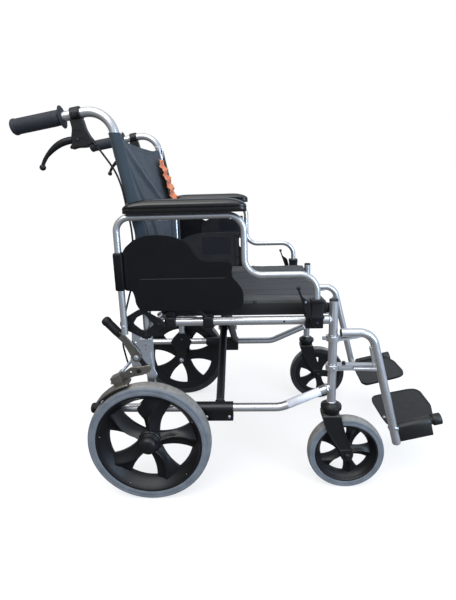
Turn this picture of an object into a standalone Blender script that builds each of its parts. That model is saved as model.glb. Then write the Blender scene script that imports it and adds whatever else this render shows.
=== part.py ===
"""Folding transport wheelchair with attendant brakes, in metres, +X forward, +Z up.

The right side is built once and mirrored across the XZ plane for the left side. A piece that moves has
its origin on its joint's axis. Soft pieces are plain closed solids of the right size.
"""

import math

import bmesh
import bpy
from mathutils import Matrix, Vector

# Driving dimensions
GAP = 0.0003
FRAME_HALF = 0.240
Y = -FRAME_HALF
TUBE_R = 0.011
ARM_TUBE_R = 0.008
POST_X, POST_TOP, POST_BOTTOM = 0.223, 0.514, 0.2418
UPPER_Z, UPPER_REAR_X = 0.465, -0.214
LOWER_Z, LOWER_REAR_X, LOWER_BEND_X, LOWER_JOIN_Z = 0.228, -0.402, 0.094, 0.286

WHEEL_X, WHEEL_R, WHEEL_Y, WHEEL_HALF_WIDTH = -0.2455, 0.159, 0.283, 0.0205
WHEEL_RIM_R = 0.1365
WHEEL_STEPS, CASTER_STEPS = 32, 28
CASTER_R, CASTER_RIM_R, CASTER_HALF_WIDTH, CASTER_TRAIL = 0.100, 0.082, 0.0165, 0.040
FORK_INNER, FORK_OUTER = 0.0185, 0.0235

CANE_X, CANE_BEND_Z = -0.241, 0.690
HANDLE_CORNER = (-0.2947, 0.9737)
HANDLE_REAR = (-0.5155, 0.9381)
GRIP_R, GRIP_FLANGE_R, GRIP_LENGTH = 0.018, 0.025, 0.118
LEVER_PIVOT = (-0.368, 0.905)

ARM_Y = FRAME_HALF + 0.035
ARM_PIVOT = (-0.291, 0.467)
ARM_TOP_Z, ARM_LOW_Z, ARM_STEP_X, ARM_FOOT_X, ARM_FOOT_Z = 0.729, 0.588, 0.007, 0.176, 0.5162

BRACE_A_X, BRACE_B_X, BRACE_FRONT_X, BRACE_REAR_X = -0.066, -0.042, -0.031, -0.150
LINK_X, LINK_TOP, LINK_LENGTH = -0.0805, (-0.2225, 0.443), 0.136
RAIL_HALF, RAIL_Z, RAIL_REAR_X, RAIL_FRONT_X = 0.225, 0.492, -0.192, 0.203
SEAT_REACH, SEAT_HALF_THICK = 0.191, 0.009
BACK_START, BACK_REACH, BACK_HALF_THICK, BACK_SAG = 0.0205, 0.204, 0.009, 0.012
BACK_LOW, BACK_TOP = (-0.241, 0.520), (-0.2835, 0.914)

HANGER_ELBOW, HANGER_FOOT = (0.3195, 0.430), (0.396, 0.124)
STEP_PITCH = math.radians(13.5)
STEP_Y, STEP_START, STEP_LENGTH, STEP_BARREL_R = FRAME_HALF - 0.030, (0.399, 0.1475), 0.100, 0.013
STEP_WIDTH = 0.170

PARK_PIVOT, ARM_BRAKE_PIVOT = (-0.271, 0.378), (-0.267, 0.341)

SIDES = {"right": -1, "left": 1}

# Materials: name, colour, roughness, metallic
FINISHES = {
    "silver_paint": ((0.62, 0.64, 0.66), 0.34, 0.85),
    "zinc_steel": ((0.55, 0.57, 0.58), 0.38, 0.9),
    "black_paint": ((0.022, 0.022, 0.024), 0.42, 0.2),
    "black_plastic": ((0.020, 0.021, 0.023), 0.55, 0.0),
    "grey_tyre": ((0.16, 0.17, 0.18), 0.72, 0.0),
    "black_rubber": ((0.030, 0.030, 0.032), 0.70, 0.0),
    "black_vinyl": ((0.016, 0.016, 0.017), 0.32, 0.0),
    "slate_nylon": ((0.055, 0.070, 0.078), 0.80, 0.0),
    "brake_bronze": ((0.16, 0.14, 0.11), 0.45, 0.6),
}


def material(name):
    found = bpy.data.materials.get(name)
    if found:
        return found
    colour, roughness, metallic = FINISHES[name]
    made = bpy.data.materials.new(name)
    made.use_nodes = True
    shader = made.node_tree.nodes["Principled BSDF"]
    shader.inputs["Base Color"].default_value = (*colour, 1.0)
    shader.inputs["Roughness"].default_value = roughness
    shader.inputs["Metallic"].default_value = metallic
    made.diffuse_color = (*colour, 1.0)
    return made


# Solids: each function returns a bmesh in world coordinates


def facing_out(bm):
    bmesh.ops.recalc_face_normals(bm, faces=bm.faces)
    return bm


def rings_solid(rings):
    """A closed solid through rings of points, capped at both ends."""
    bm = bmesh.new()
    loops = [[bm.verts.new(point) for point in ring] for ring in rings]
    count = len(loops[0])
    for low, high in zip(loops, loops[1:]):
        for i in range(count):
            j = (i + 1) % count
            bm.faces.new((low[i], low[j], high[j], high[i]))
    bm.faces.new(loops[0])
    bm.faces.new(loops[-1])
    return facing_out(bm)


def tube(points, radius, sides=10):
    """A round bar along a path; the cross-section turns as little as it can from point to point."""
    path = [Vector(point) for point in points]
    along = [(path[min(i + 1, len(path) - 1)] - path[max(i - 1, 0)]).normalized() for i in range(len(path))]
    across = along[0].orthogonal().normalized()
    rings = []
    for i, (point, direction) in enumerate(zip(path, along)):
        if i:
            across = along[i - 1].rotation_difference(direction) @ across
        up = direction.cross(across)
        width = radius[i] if isinstance(radius, (list, tuple)) else radius
        turns = [math.tau * (k + 0.5) / sides for k in range(sides)]
        rings.append([point + width * (across * math.cos(a) + up * math.sin(a)) for a in turns])
    return rings_solid(rings)


def rod(start, end, radius, sides=10):
    return tube([start, end], radius, sides)


def bent(corners, radii, steps=5):
    """Points of a path whose inner corners are rounded to the given radii."""
    path = [Vector(corner) for corner in corners]
    points = [path[0]]
    for before, corner, after, radius in zip(path, path[1:], path[2:], radii):
        back, ahead = (before - corner).normalized(), (after - corner).normalized()
        half = back.angle(ahead) / 2
        centre = corner + (back + ahead).normalized() * radius / math.sin(half)
        start = corner + back * radius / math.tan(half) - centre
        turn = math.pi - 2 * half
        axis = start.cross(corner + ahead * radius / math.tan(half) - centre).normalized()
        for k in range(steps + 1):
            points.append(centre + Matrix.Rotation(turn * k / steps, 3, axis) @ start)
    points.append(path[-1])
    return points


def side_path(pairs, y):
    """Points given as (x, z), placed at the height y across the chair."""
    return [(x, y, z) for x, z in pairs]


def turned(profile, start, direction, steps=16):
    """A solid of revolution; profile lists (radius, distance along), from axis to axis or round a closed loop."""
    axis = Vector(direction).normalized()
    across = axis.orthogonal().normalized()
    up = axis.cross(across)
    bm = bmesh.new()
    columns = []
    for k in range(steps):
        angle = math.tau * k / steps
        out = across * math.cos(angle) + up * math.sin(angle)
        columns.append([(r, Vector(start) + axis * h + out * r) for r, h in profile])
    poles = {}
    grid = []
    for column in columns:
        row = []
        for i, (r, point) in enumerate(column):
            if r == 0:
                if i not in poles:
                    poles[i] = bm.verts.new(point)
                row.append(poles[i])
            else:
                row.append(bm.verts.new(point))
        grid.append(row)
    closed = profile[0][0] > 0
    count = len(profile)
    for k in range(steps):
        here, there = grid[k], grid[(k + 1) % steps]
        for i in range(count if closed else count - 1):
            j = (i + 1) % count
            corners = [here[i], here[j], there[j], there[i]]
            unique = list(dict.fromkeys(corners))
            bm.faces.new(unique)
    return facing_out(bm)


def box(low, high):
    bm = bmesh.new()
    size = [b - a for a, b in zip(low, high)]
    middle = [(a + b) / 2 for a, b in zip(low, high)]
    matrix = Matrix.Translation(middle) @ Matrix.Diagonal((*size, 1.0))
    bmesh.ops.create_cube(bm, size=1.0, matrix=matrix)
    return bm


def plate(outline, y_low, y_high):
    """A flat plate standing along the chair: outline is a list of (x, z)."""
    near = [(x, y_low, z) for x, z in outline]
    far = [(x, y_high, z) for x, z in outline]
    return rings_solid([near, far])


def arc(centre, radius, start_deg, end_deg, steps):
    """Points (x, z) on an arc, counter-clockwise from +X towards +Z."""
    angles = [math.radians(start_deg + (end_deg - start_deg) * k / steps) for k in range(steps + 1)]
    return [(centre[0] + radius * math.cos(a), centre[1] + radius * math.sin(a)) for a in angles]


def moved(bm, matrix):
    bmesh.ops.transform(bm, matrix=matrix, verts=bm.verts)
    return bm


# Objects


def as_object(name, bm):
    mesh = bpy.data.meshes.new(name)
    bm.to_mesh(mesh)
    bm.free()
    made = bpy.data.objects.new(name, mesh)
    bpy.context.scene.collection.objects.link(made)
    return made


def combined(pieces, cuts=()):
    """One mesh of the pieces joined and the cuts taken away."""
    base = as_object("base", pieces[0])
    helpers = []
    for operation, solids in (("UNION", pieces[1:]), ("DIFFERENCE", cuts)):
        for solid in solids:
            helper = as_object("helper", solid)
            helpers.append(helper)
            step = base.modifiers.new(operation, "BOOLEAN")
            step.operation = operation
            step.object = helper
    bpy.context.view_layer.update()
    graph = bpy.context.evaluated_depsgraph_get()
    result = bmesh.new()
    result.from_object(base, graph)
    for used in [base, *helpers]:
        bpy.data.objects.remove(used)
    return result


def piece(name, finish, bm, side=None, origin=(0, 0, 0), smooth_deg=40):
    """Adds a named part; a sided part is built for the right and mirrored for the left."""
    if side == "left":
        bmesh.ops.scale(bm, vec=(1, -1, 1), verts=bm.verts)
        bmesh.ops.reverse_faces(bm, faces=bm.faces)
        origin = (origin[0], -origin[1], origin[2])
    bmesh.ops.translate(bm, vec=-Vector(origin), verts=bm.verts)
    made = as_object(f"{name}_{side}" if side else name, bm)
    made.location = origin
    made.data.shade_smooth()
    made.data.set_sharp_from_angle(angle=math.radians(smooth_deg))
    made.data.materials.append(material(finish))
    return made


def each_side(builder):
    for side in SIDES:
        builder(side)


# Frame

def side_frame(side):
    post = rod((POST_X, Y, POST_BOTTOM), (POST_X, Y, POST_TOP), TUBE_R)
    upper = rod((UPPER_REAR_X, Y, UPPER_Z), (POST_X, Y, UPPER_Z), TUBE_R)
    lower_corners = side_path([(LOWER_REAR_X, LOWER_Z), (LOWER_BEND_X, LOWER_Z), (POST_X, LOWER_JOIN_Z)], Y)
    lower = tube(bent(lower_corners, [0.08], 3), TUBE_R)
    axle_block = box((WHEEL_X - 0.018, Y - 0.0115, WHEEL_R - 0.020), (WHEEL_X + 0.018, Y + 0.0115, LOWER_Z))
    piece("side_frame", "silver_paint", combined([post, upper, lower, axle_block]), side)


def cane_corners():
    foot = (CANE_X, LOWER_Z + TUBE_R + 0.0006)
    return side_path([foot, (CANE_X, CANE_BEND_Z), HANDLE_CORNER, HANDLE_REAR], Y)


def back_cane(side):
    path = bent(cane_corners(), [0.09, 0.057], 5)
    piece("back_cane", "silver_paint", tube(path, TUBE_R), side)


def handle_direction():
    rear, corner = Vector(at_y(HANDLE_REAR, 0)), Vector(at_y(HANDLE_CORNER, 0))
    return (corner - rear).normalized()


def handle_grip(side):
    bore = TUBE_R + GAP
    wall = 0.004
    profile = [
        (0, -wall - GAP),
        (GRIP_R - 0.002, -wall - GAP),
        (GRIP_R, -0.002),
        (GRIP_R - 0.001, GRIP_LENGTH - 0.012),
        (GRIP_FLANGE_R, GRIP_LENGTH - 0.006),
        (GRIP_FLANGE_R, GRIP_LENGTH - 0.002),
        (GRIP_R - 0.002, GRIP_LENGTH),
        (bore, GRIP_LENGTH),
        (bore, -GAP),
        (0, -GAP),
    ]
    start = (HANDLE_REAR[0], Y, HANDLE_REAR[1])
    piece("handle_grip", "black_rubber", turned(profile, start, handle_direction(), 14), side)


def brake_lever_housing(side):
    clamp_x = -0.368
    clamp_z = HANDLE_REAR[1] + (clamp_x - HANDLE_REAR[0]) * handle_direction().z / handle_direction().x
    clamp_centre = Vector((clamp_x, Y, clamp_z))
    ring = [(TUBE_R + 0.0006, -0.011), (0.0155, -0.011), (0.0155, 0.011), (TUBE_R + 0.0006, 0.011)]
    clamp = turned(ring, clamp_centre, handle_direction(), 14)
    outline = [(-0.382, 0.954), (-0.355, 0.954), (-0.349, 0.930), (-0.335, 0.906), (-0.340, 0.894)]
    outline += [(-0.352, 0.889), (-0.382, 0.889), (-0.384, 0.905), (-0.378, 0.930)]
    body = plate(outline, Y - 0.0095, Y + 0.0095)
    slot = box((-0.400, Y - 0.0048, 0.880), (-0.353, Y + 0.0048, 0.920))
    reach = handle_direction() * 0.03
    bore = rod(clamp_centre - reach, clamp_centre + reach, TUBE_R + 0.0006, 14)
    piece("brake_lever_housing", "black_plastic", combined([clamp, body], [slot, bore]), side)


def brake_lever(side):
    pivot = (LEVER_PIVOT[0], Y, LEVER_PIVOT[1])
    curve = [LEVER_PIVOT, (-0.392, 0.905), (-0.412, 0.898)]
    curve += [(-0.430, 0.884), (-0.447, 0.866), (-0.458, 0.850)]
    arm = tube(side_path(curve, Y), [0.0042, 0.0042, 0.0062, 0.0068, 0.0062, 0.0055], 8)
    hub = turned([(0, -0.0042), (0.008, -0.0042), (0.008, 0.0042), (0, 0.0042)], pivot, (0, 1, 0), 12)
    ball = turned(ball_profile(0.0095, 5), (-0.460, Y, 0.8375), (0, 0, 1), 10)
    piece("brake_lever", "black_plastic", combined([hub, arm, ball]), side, pivot)


def ball_profile(radius, steps):
    angles = [math.pi * k / steps for k in range(steps + 1)]
    inner = [(radius * math.sin(a), radius - radius * math.cos(a)) for a in angles[1:-1]]
    return [(0, 0), *inner, (0, 2 * radius)]


def smooth_route(points, spacing):
    """Points about a spacing apart on a smooth curve through the given points."""
    path = [Vector(point) for point in points]
    padded = [2 * path[0] - path[1], *path, 2 * path[-1] - path[-2]]
    route = []
    for a, b, c, d in zip(padded, padded[1:], padded[2:], padded[3:]):
        steps = max(1, round((c - b).length / spacing))
        for k in range(steps):
            t = k / steps
            route.append(0.5 * (2 * b + (c - a) * t + (2 * a - 5 * b + 4 * c - d) * t**2
                                + (3 * b - a - 3 * c + d) * t**3))
    route.append(path[-1])
    return route


CABLE_ROUTE = [
    (-0.3335, Y, 0.898),
    (-0.316, Y - 0.003, 0.875),
    (-0.290, Y - 0.006, 0.836),
    (-0.276, Y - 0.009, 0.800),
    (-0.268, Y - 0.010, 0.755),
    (-0.2605, Y - 0.009, 0.700),
    (-0.2600, Y - 0.009, 0.640),
    (-0.266, Y - 0.008, 0.580),
    (-0.284, Y - 0.001, 0.525),
    (-0.300, Y + 0.008, 0.475),
    (-0.311, Y + 0.010, 0.410),
    (-0.308, Y + 0.010, 0.378),
    (-0.303, Y + 0.010, 0.352),
]


def brake_cable(side):
    cable = tube(smooth_route(CABLE_ROUTE, 0.026), 0.0024, 6)
    y = Y + 0.010
    barrel = rod((-0.286, y, 0.364), (-0.322, y, 0.325), 0.0040, 10)
    nut = rod((-0.318, y, 0.329), (-0.346, y, 0.299), 0.0065, 8)
    piece("brake_cable", "black_rubber", combined([barrel, nut, cable]), side)


# Armrest


def armrest_tube(side):
    corners = side_path(
        [
            (ARM_PIVOT[0] + 0.002, 0.446),
            (ARM_PIVOT[0] + 0.002, ARM_TOP_Z),
            (ARM_STEP_X, ARM_TOP_Z),
            (ARM_STEP_X, ARM_LOW_Z),
            (ARM_FOOT_X, ARM_LOW_Z),
            (ARM_FOOT_X, ARM_FOOT_Z),
        ],
        -ARM_Y,
    )
    path = bent(corners, [0.033, 0.038, 0.040, 0.042], 4)
    origin = (ARM_PIVOT[0], -ARM_Y, ARM_PIVOT[1])
    piece("armrest_tube", "silver_paint", tube(path, ARM_TUBE_R), side, origin)


def armrest_pad(side):
    low = (-0.266, -ARM_Y - 0.030, ARM_TOP_Z + ARM_TUBE_R + GAP)
    high = (0.014, -ARM_Y + 0.0195, ARM_TOP_Z + ARM_TUBE_R + 0.0315)
    pad = box(low, high)
    bmesh.ops.bevel(pad, geom=pad.edges, offset=0.011, segments=2, profile=0.6, affect="EDGES")
    piece("armrest_pad", "black_vinyl", pad, side, smooth_deg=60)


def guard_outline():
    top = [(-0.022, 0.612), (-0.008, 0.622), (-0.086, 0.625), (-0.103, 0.633), (-0.121, 0.660)]
    top += [(-0.136, 0.673), (-0.160, 0.683), (-0.195, 0.687)]
    top += [(-0.225, 0.685), (-0.252, 0.676), (-0.272, 0.659)]
    rear = [(-0.278, 0.648), (-0.278, 0.556)] + arc((-0.276, 0.537), 0.019, 80, 10, 3)
    bottom = [(-0.257, 0.523), (-0.250, 0.510), (-0.239, 0.504), (-0.013, 0.503)]
    front = [(-0.002, 0.511), (0.003, 0.528), (0.001, 0.553)]
    front += [(-0.010, 0.571), (-0.021, 0.583), (-0.0235, 0.597)]
    return top + rear + bottom + front


def side_guard(side):
    panel = plate(guard_outline(), -ARM_Y - 0.0025, -ARM_Y + 0.0015)
    insert_outline = [(-0.150, 0.668), (-0.118, 0.686), (-0.094, 0.690), (-0.0045, 0.690), (-0.0045, 0.616)]
    insert_outline += [(-0.094, 0.616), (-0.150, 0.640)]
    insert = plate(insert_outline, -ARM_Y + 0.0010, -ARM_Y + 0.0045)
    leg_x = ARM_PIVOT[0] + 0.002
    sleeve = box((leg_x - 0.0115, -ARM_Y - 0.011, 0.556), (leg_x + 0.0115, -ARM_Y + 0.011, 0.648))
    bore = rod((leg_x, -ARM_Y, 0.5), (leg_x, -ARM_Y, 0.7), ARM_TUBE_R + 0.0005)
    piece("side_guard", "black_plastic", combined([panel, insert, sleeve], [bore]), side)


def cane_bracket(side):
    low_y, high_y = Y - 0.0206, Y - 0.0146
    outer = arc(ARM_PIVOT, 0.014, 250, 110, 4) + [(-0.262, 0.500), (-0.249, 0.506), (-0.236, 0.498)]
    outer += arc((-0.207, UPPER_Z), 0.013, 60, -60, 4) + arc((-0.241, 0.436), 0.012, -20, -150, 4)
    window = [(-0.243, 0.487), (-0.256, 0.480), (-0.262, 0.466)]
    window += [(-0.248, 0.452), (-0.240, 0.449), (-0.223, 0.464)]
    web = plate(outer, low_y, high_y)
    arm_boss = rod(at_y(ARM_PIVOT, low_y + 0.001), at_y(ARM_PIVOT, -ARM_Y + ARM_TUBE_R + 0.0006), 0.009)
    upper_boss = rod((-0.207, high_y - 0.001, UPPER_Z), (-0.207, Y - TUBE_R - 0.0006, UPPER_Z), 0.009)
    cane_boss = rod((CANE_X, high_y - 0.001, 0.436), (CANE_X, Y - TUBE_R - 0.0006, 0.436), 0.008)
    cut = plate(window, low_y - 0.01, high_y + 0.01)
    piece("cane_bracket", "black_plastic", combined([web, arm_boss, upper_boss, cane_boss], [cut]), side)


def at_y(pair, y):
    return (pair[0], y, pair[1])


def armrest_socket(side):
    clamp = box((0.152, Y - 0.0245, UPPER_Z - 0.0145), (0.190, Y + 0.0135, UPPER_Z + 0.0145))
    cup = box((0.162, -ARM_Y - 0.0125, UPPER_Z - 0.0065), (0.1905, -ARM_Y + 0.0125, 0.528))
    tube_bore = rod((0.10, Y, UPPER_Z), (0.25, Y, UPPER_Z), TUBE_R + 0.0005, 16)
    foot = (ARM_FOOT_X, -ARM_Y, ARM_FOOT_Z - 0.003)
    foot_bore = rod(foot, (ARM_FOOT_X, -ARM_Y, 0.60), ARM_TUBE_R + 0.002, 16)
    piece("armrest_socket", "black_plastic", combined([clamp, cup], [tube_bore, foot_bore]), side)


def socket_release_lever(side):
    y_low, y_high = -ARM_Y - 0.0168, -ARM_Y - 0.0130
    outline = [(0.1275, 0.556), (0.1345, 0.556), (0.142, 0.536), (0.156, 0.524), (0.160, 0.505)]
    outline += [(0.158, 0.494), (0.150, 0.494), (0.144, 0.505), (0.138, 0.528)]
    blade = plate(outline, y_low, y_high)
    ball = turned(ball_profile(0.0055, 6), (0.131, (y_low + y_high) / 2, 0.5535), (0, 0, 1), 10)
    bolt = rod((0.1475, y_low + 0.001, 0.526), (0.1475, y_low - 0.004, 0.526), 0.0045, 10)
    origin = (0.1475, -ARM_Y - 0.015, 0.526)
    piece("socket_release_lever", "black_plastic", combined([blade, ball, bolt]), side, origin)


# Brakes at the rear wheel


def brake_plate(side):
    outline = [(-0.279, 0.443), (-0.259, 0.443), (-0.257, 0.426), (-0.226, 0.426), (-0.228, 0.396)]
    outline += [(-0.236, 0.388), (-0.230, 0.350), (-0.221, 0.327), (-0.234, 0.306), (-0.250, 0.330)]
    outline += [(-0.281, 0.330), (-0.288, 0.372), (-0.282, 0.405)]
    sheet = plate(outline, Y - 0.0143, Y - 0.0113)
    holes = [(-0.271, 0.416), (-0.246, 0.4085), (-0.246, 0.3965)]
    cuts = [rod((x, Y - 0.02, z), (x, Y, z), 0.002, 8) for x, z in holes]
    piece("brake_plate", "zinc_steel", combined([sheet], cuts), side)


def parking_brake_lever(side):
    outline = [(-0.320, 0.436), (-0.308, 0.447), (-0.277, 0.412), (-0.2585, 0.388)]
    outline += arc(PARK_PIVOT, 0.0125, 20, -130, 5) + [(-0.292, 0.398), (-0.304, 0.420)]
    blade = plate(outline, Y - 0.0200, Y - 0.0160)
    grip_start, grip_end = Vector((-0.3095, Y - 0.0115, 0.437)), Vector((-0.345, Y - 0.0115, 0.477))
    length = (grip_end - grip_start).length
    profile = [(0, 0), (0.0095, 0), (0.0115, 0.006), (0.0120, 0.03), (0.0120, length - 0.008)]
    profile += [(0.0085, length + 0.001), (0, length + 0.004)]
    grip = turned(profile, grip_start, grip_end - grip_start, 14)
    bolt = rod(at_y(PARK_PIVOT, Y - 0.019), at_y(PARK_PIVOT, Y - 0.0235), 0.0065, 10)
    washer = rod(at_y(PARK_PIVOT, Y - 0.0170), at_y(PARK_PIVOT, Y - 0.0147), 0.0065, 10)
    piece("parking_brake_lever", "black_paint", combined([blade, grip, bolt, washer]), side,
          at_y(PARK_PIVOT, Y - 0.018))


def brake_arm(side):
    outline = [(-0.236, 0.357), (-0.262, 0.353), (-0.286, 0.352), (-0.297, 0.345), (-0.318, 0.329)]
    outline += [(-0.310, 0.314), (-0.281, 0.326), (-0.258, 0.330), (-0.238, 0.340)]
    link = plate(outline, Y - 0.0200, Y - 0.0160)
    shoe_inner, shoe_outer = WHEEL_R + 0.003, WHEEL_R + 0.020
    centre = (WHEEL_X, WHEEL_R)
    shoe_outline = arc(centre, shoe_outer, 106, 133, 5) + arc(centre, shoe_inner, 134, 106, 5)
    shoe = plate(shoe_outline, -WHEEL_Y - WHEEL_HALF_WIDTH + 0.002, -WHEEL_Y + WHEEL_HALF_WIDTH - 0.001)
    bridge_outline = arc(centre, WHEEL_R + 0.034, 110, 118, 2) + arc(centre, WHEEL_R + 0.012, 118, 110, 2)
    bridge = plate(bridge_outline, -WHEEL_Y + 0.002, Y - 0.0170)
    bolt = rod(at_y(ARM_BRAKE_PIVOT, Y - 0.019), at_y(ARM_BRAKE_PIVOT, Y - 0.0235), 0.0060, 10)
    washer = rod(at_y(ARM_BRAKE_PIVOT, Y - 0.0170), at_y(ARM_BRAKE_PIVOT, Y - 0.0147), 0.0060, 10)
    piece("brake_arm", "brake_bronze", combined([link, bridge, shoe, bolt, washer]), side,
          at_y(ARM_BRAKE_PIVOT, Y - 0.018))


# Wheels


def tyre_profile(outer, inner, half):
    soft = 0.3 * (outer - inner)
    return [
        (inner + GAP, -half + 0.001),
        (outer - soft, -half),
        (outer, -0.45 * half),
        (outer, 0.45 * half),
        (outer - soft, half),
        (inner + GAP, half - 0.001),
    ]


def spoked_rim(centre, radii, half, hub_r, hub_half, spoke_width, bore, phase_deg, steps):
    """A rim, a hub and five spokes about the Y axis, with a bore right through."""
    inner, outer = radii
    ring = [(inner, -half * 0.55), (outer, -half), (outer, half), (inner, half * 0.55)]
    parts = [turned(ring, centre, (0, 1, 0), steps)]
    hub = [(0, -hub_half), (hub_r, -hub_half), (hub_r, hub_half), (0, hub_half)]
    parts.append(turned(hub, centre, (0, 1, 0), 14))
    for k in range(5):
        angle = math.radians(phase_deg + 72 * k)
        low = (hub_r * 0.6, -half * 0.42, -spoke_width * 0.40)
        high = (inner + 0.3 * (outer - inner), half * 0.42, spoke_width * 0.40)
        spoke = moved(box(low, high), Matrix.Rotation(-angle, 4, "Y"))
        parts.append(moved(spoke, Matrix.Translation(centre)))
    hole = rod(Vector(centre) - Vector((0, 0.1, 0)), Vector(centre) + Vector((0, 0.1, 0)), bore, 12)
    return combined(parts, [hole])


def rear_tyre(side):
    centre = (WHEEL_X, -WHEEL_Y, WHEEL_R)
    profile = tyre_profile(WHEEL_R, WHEEL_RIM_R, WHEEL_HALF_WIDTH)
    piece("rear_tyre", "grey_tyre", turned(profile, centre, (0, 1, 0), WHEEL_STEPS), side, centre)


def rear_rim(side):
    centre = (WHEEL_X, -WHEEL_Y, WHEEL_R)
    rim = spoked_rim(centre, (0.110, WHEEL_RIM_R), 0.0190, 0.030, 0.0155, 0.040, 0.0066, 82, WHEEL_STEPS)
    cap_profile = [(0, 0.034), (0.014, 0.034), (0.024, 0.029), (0.027, 0.020)]
    cap_profile += [(0.027, 0.010), (0.0085, 0.010), (0.0085, 0.026), (0, 0.026)]
    cap = turned(cap_profile, centre, (0, -1, 0), 14)
    piece("rear_rim", "black_plastic", combined([rim, cap]), side, centre)


def rear_axle(side):
    start = (WHEEL_X, Y - 0.0118, WHEEL_R)
    profile = [(0, 0), (0.0100, 0), (0.0100, 0.008), (0.0063, 0.008), (0.0063, 0.053), (0, 0.053)]
    piece("rear_axle", "zinc_steel", turned(profile, start, (0, -1, 0), 12), side, start)


def caster_housing(side):
    profile = [(0, 0.2134), (0.020, 0.2134), (0.0215, 0.222), (0.026, 0.228)]
    profile += [(0.026, 0.236), (0.0185, 0.2415), (0, 0.2415)]
    piece("caster_housing", "black_plastic", turned(profile, (POST_X, Y, 0), (0, 0, 1), 16), side)


def caster_fork(side):
    hub = (POST_X + CASTER_TRAIL, CASTER_R)
    crown_low, crown_high = 0.2008, 0.2130
    crown = box((0.201, Y - FORK_OUTER, crown_low), (0.2425, Y + FORK_OUTER, crown_high))
    outline = [(0.201, crown_high - 0.001), (0.2425, crown_high - 0.001), (0.2790, 0.108)]
    outline += arc(hub, 0.0165, 10, -170, 6)
    near = plate(outline, Y - FORK_OUTER, Y - FORK_INNER)
    far = plate(outline, Y + FORK_INNER, Y + FORK_OUTER)
    bore = rod(at_y(hub, Y - 0.05), at_y(hub, Y + 0.05), 0.0045, 10)
    piece("caster_fork", "black_plastic", combined([crown, near, far], [bore]), side, (POST_X, Y, 0.207))


def caster_tyre(side):
    centre = (POST_X + CASTER_TRAIL, Y, CASTER_R)
    profile = tyre_profile(CASTER_R, CASTER_RIM_R, CASTER_HALF_WIDTH)
    piece("caster_tyre", "grey_tyre", turned(profile, centre, (0, 1, 0), CASTER_STEPS), side, centre)


def caster_rim(side):
    centre = (POST_X + CASTER_TRAIL, Y, CASTER_R)
    rim = spoked_rim(centre, (0.064, CASTER_RIM_R), 0.0140, 0.018, 0.0172, 0.026, 0.0045, 50, CASTER_STEPS)
    piece("caster_rim", "black_plastic", rim, side, centre)


def caster_axle(side):
    centre = Vector((POST_X + CASTER_TRAIL, Y, CASTER_R))
    half, head = FORK_OUTER + 0.0005, 0.0045
    shank = 0.0041
    profile = [(0, -half - head), (0.0075, -half - head), (0.0075, -half), (shank, -half)]
    profile += [(shank, half), (0.0075, half), (0.0075, half + head), (0, half + head)]
    piece("caster_axle", "zinc_steel", turned(profile, centre, (0, 1, 0), 12), side, centre)


# Cross brace: a foot sleeve on the lower tube, a leg across the chair and a seat rail on its upper end


def cross_tube(side):
    x = BRACE_A_X if side == "right" else BRACE_B_X
    foot, head = Vector((x, Y, LOWER_Z)), Vector((x, RAIL_HALF, RAIL_Z))
    lean = (head - foot).normalized()
    sleeve = rod((BRACE_REAR_X, Y, LOWER_Z), (BRACE_FRONT_X, Y, LOWER_Z), TUBE_R + 0.004, 16)
    shoe = box((-0.110, Y - 0.0125, 0.1955), (BRACE_FRONT_X, Y + 0.0125, LOWER_Z))
    leg = rod(foot + lean * 0.006, head, TUBE_R)
    rail = rod((RAIL_REAR_X, RAIL_HALF, RAIL_Z), (RAIL_FRONT_X, RAIL_HALF, RAIL_Z), TUBE_R)
    tube_bore = rod((-0.30, Y, LOWER_Z), (0.05, Y, LOWER_Z), TUBE_R + 0.0006, 16)
    pivot_z = LOWER_Z + (RAIL_Z - LOWER_Z) * FRAME_HALF / (FRAME_HALF + RAIL_HALF)
    bolt_bore = rod((-0.12, 0, pivot_z), (0.02, 0, pivot_z), 0.0045, 10)
    solid = combined([leg, sleeve, shoe, rail], [tube_bore, bolt_bore])
    piece("cross_tube", "black_paint", solid, side, (x, Y, LOWER_Z))


def cross_pivot_bolt():
    pivot_z = LOWER_Z + (RAIL_Z - LOWER_Z) * FRAME_HALF / (FRAME_HALF + RAIL_HALF)
    start = (BRACE_A_X - TUBE_R - 0.0055, 0, pivot_z)
    length = BRACE_B_X - BRACE_A_X + 2 * TUBE_R + 0.011
    profile = [(0, 0), (0.0085, 0), (0.0085, 0.005), (0.0041, 0.005)]
    profile += [(0.0041, length - 0.005), (0.0085, length - 0.005), (0.0085, length), (0, length)]
    piece("cross_pivot_bolt", "zinc_steel", turned(profile, start, (1, 0, 0), 12), origin=start)


def cross_link(side):
    angle = math.radians(-14)
    top = Vector((LINK_X, LINK_TOP[0], LINK_TOP[1]))
    low = top + LINK_LENGTH * Vector((0, math.cos(angle), math.sin(angle)))
    bar = rod(top, low, 0.0016, 8)
    half = Vector((0.0016, 0, 0))
    eyes = [rod(end - half, end + half, 0.006, 12) for end in (top, low)]
    if side == "left":
        for solid in (bar, *eyes):
            moved(solid, Matrix.Translation((-0.0045, 0, 0)))
    piece("cross_link", "zinc_steel", combined([bar, *eyes]), side, top)


# Soft goods


def seat_half(side):
    start, end = -RAIL_HALF + TUBE_R + 0.001, -RAIL_HALF + SEAT_REACH
    slab = box((-0.186, start, RAIL_Z - SEAT_HALF_THICK), (0.206, end, RAIL_Z + SEAT_HALF_THICK))
    notch = box((BRACE_A_X - 0.014, start - 0.01, 0.47), (BRACE_B_X + 0.014, start + 0.028, 0.52))
    piece("seat_half", "slate_nylon", combined([slab], [notch]), side, (0.0, -RAIL_HALF, RAIL_Z))


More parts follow.
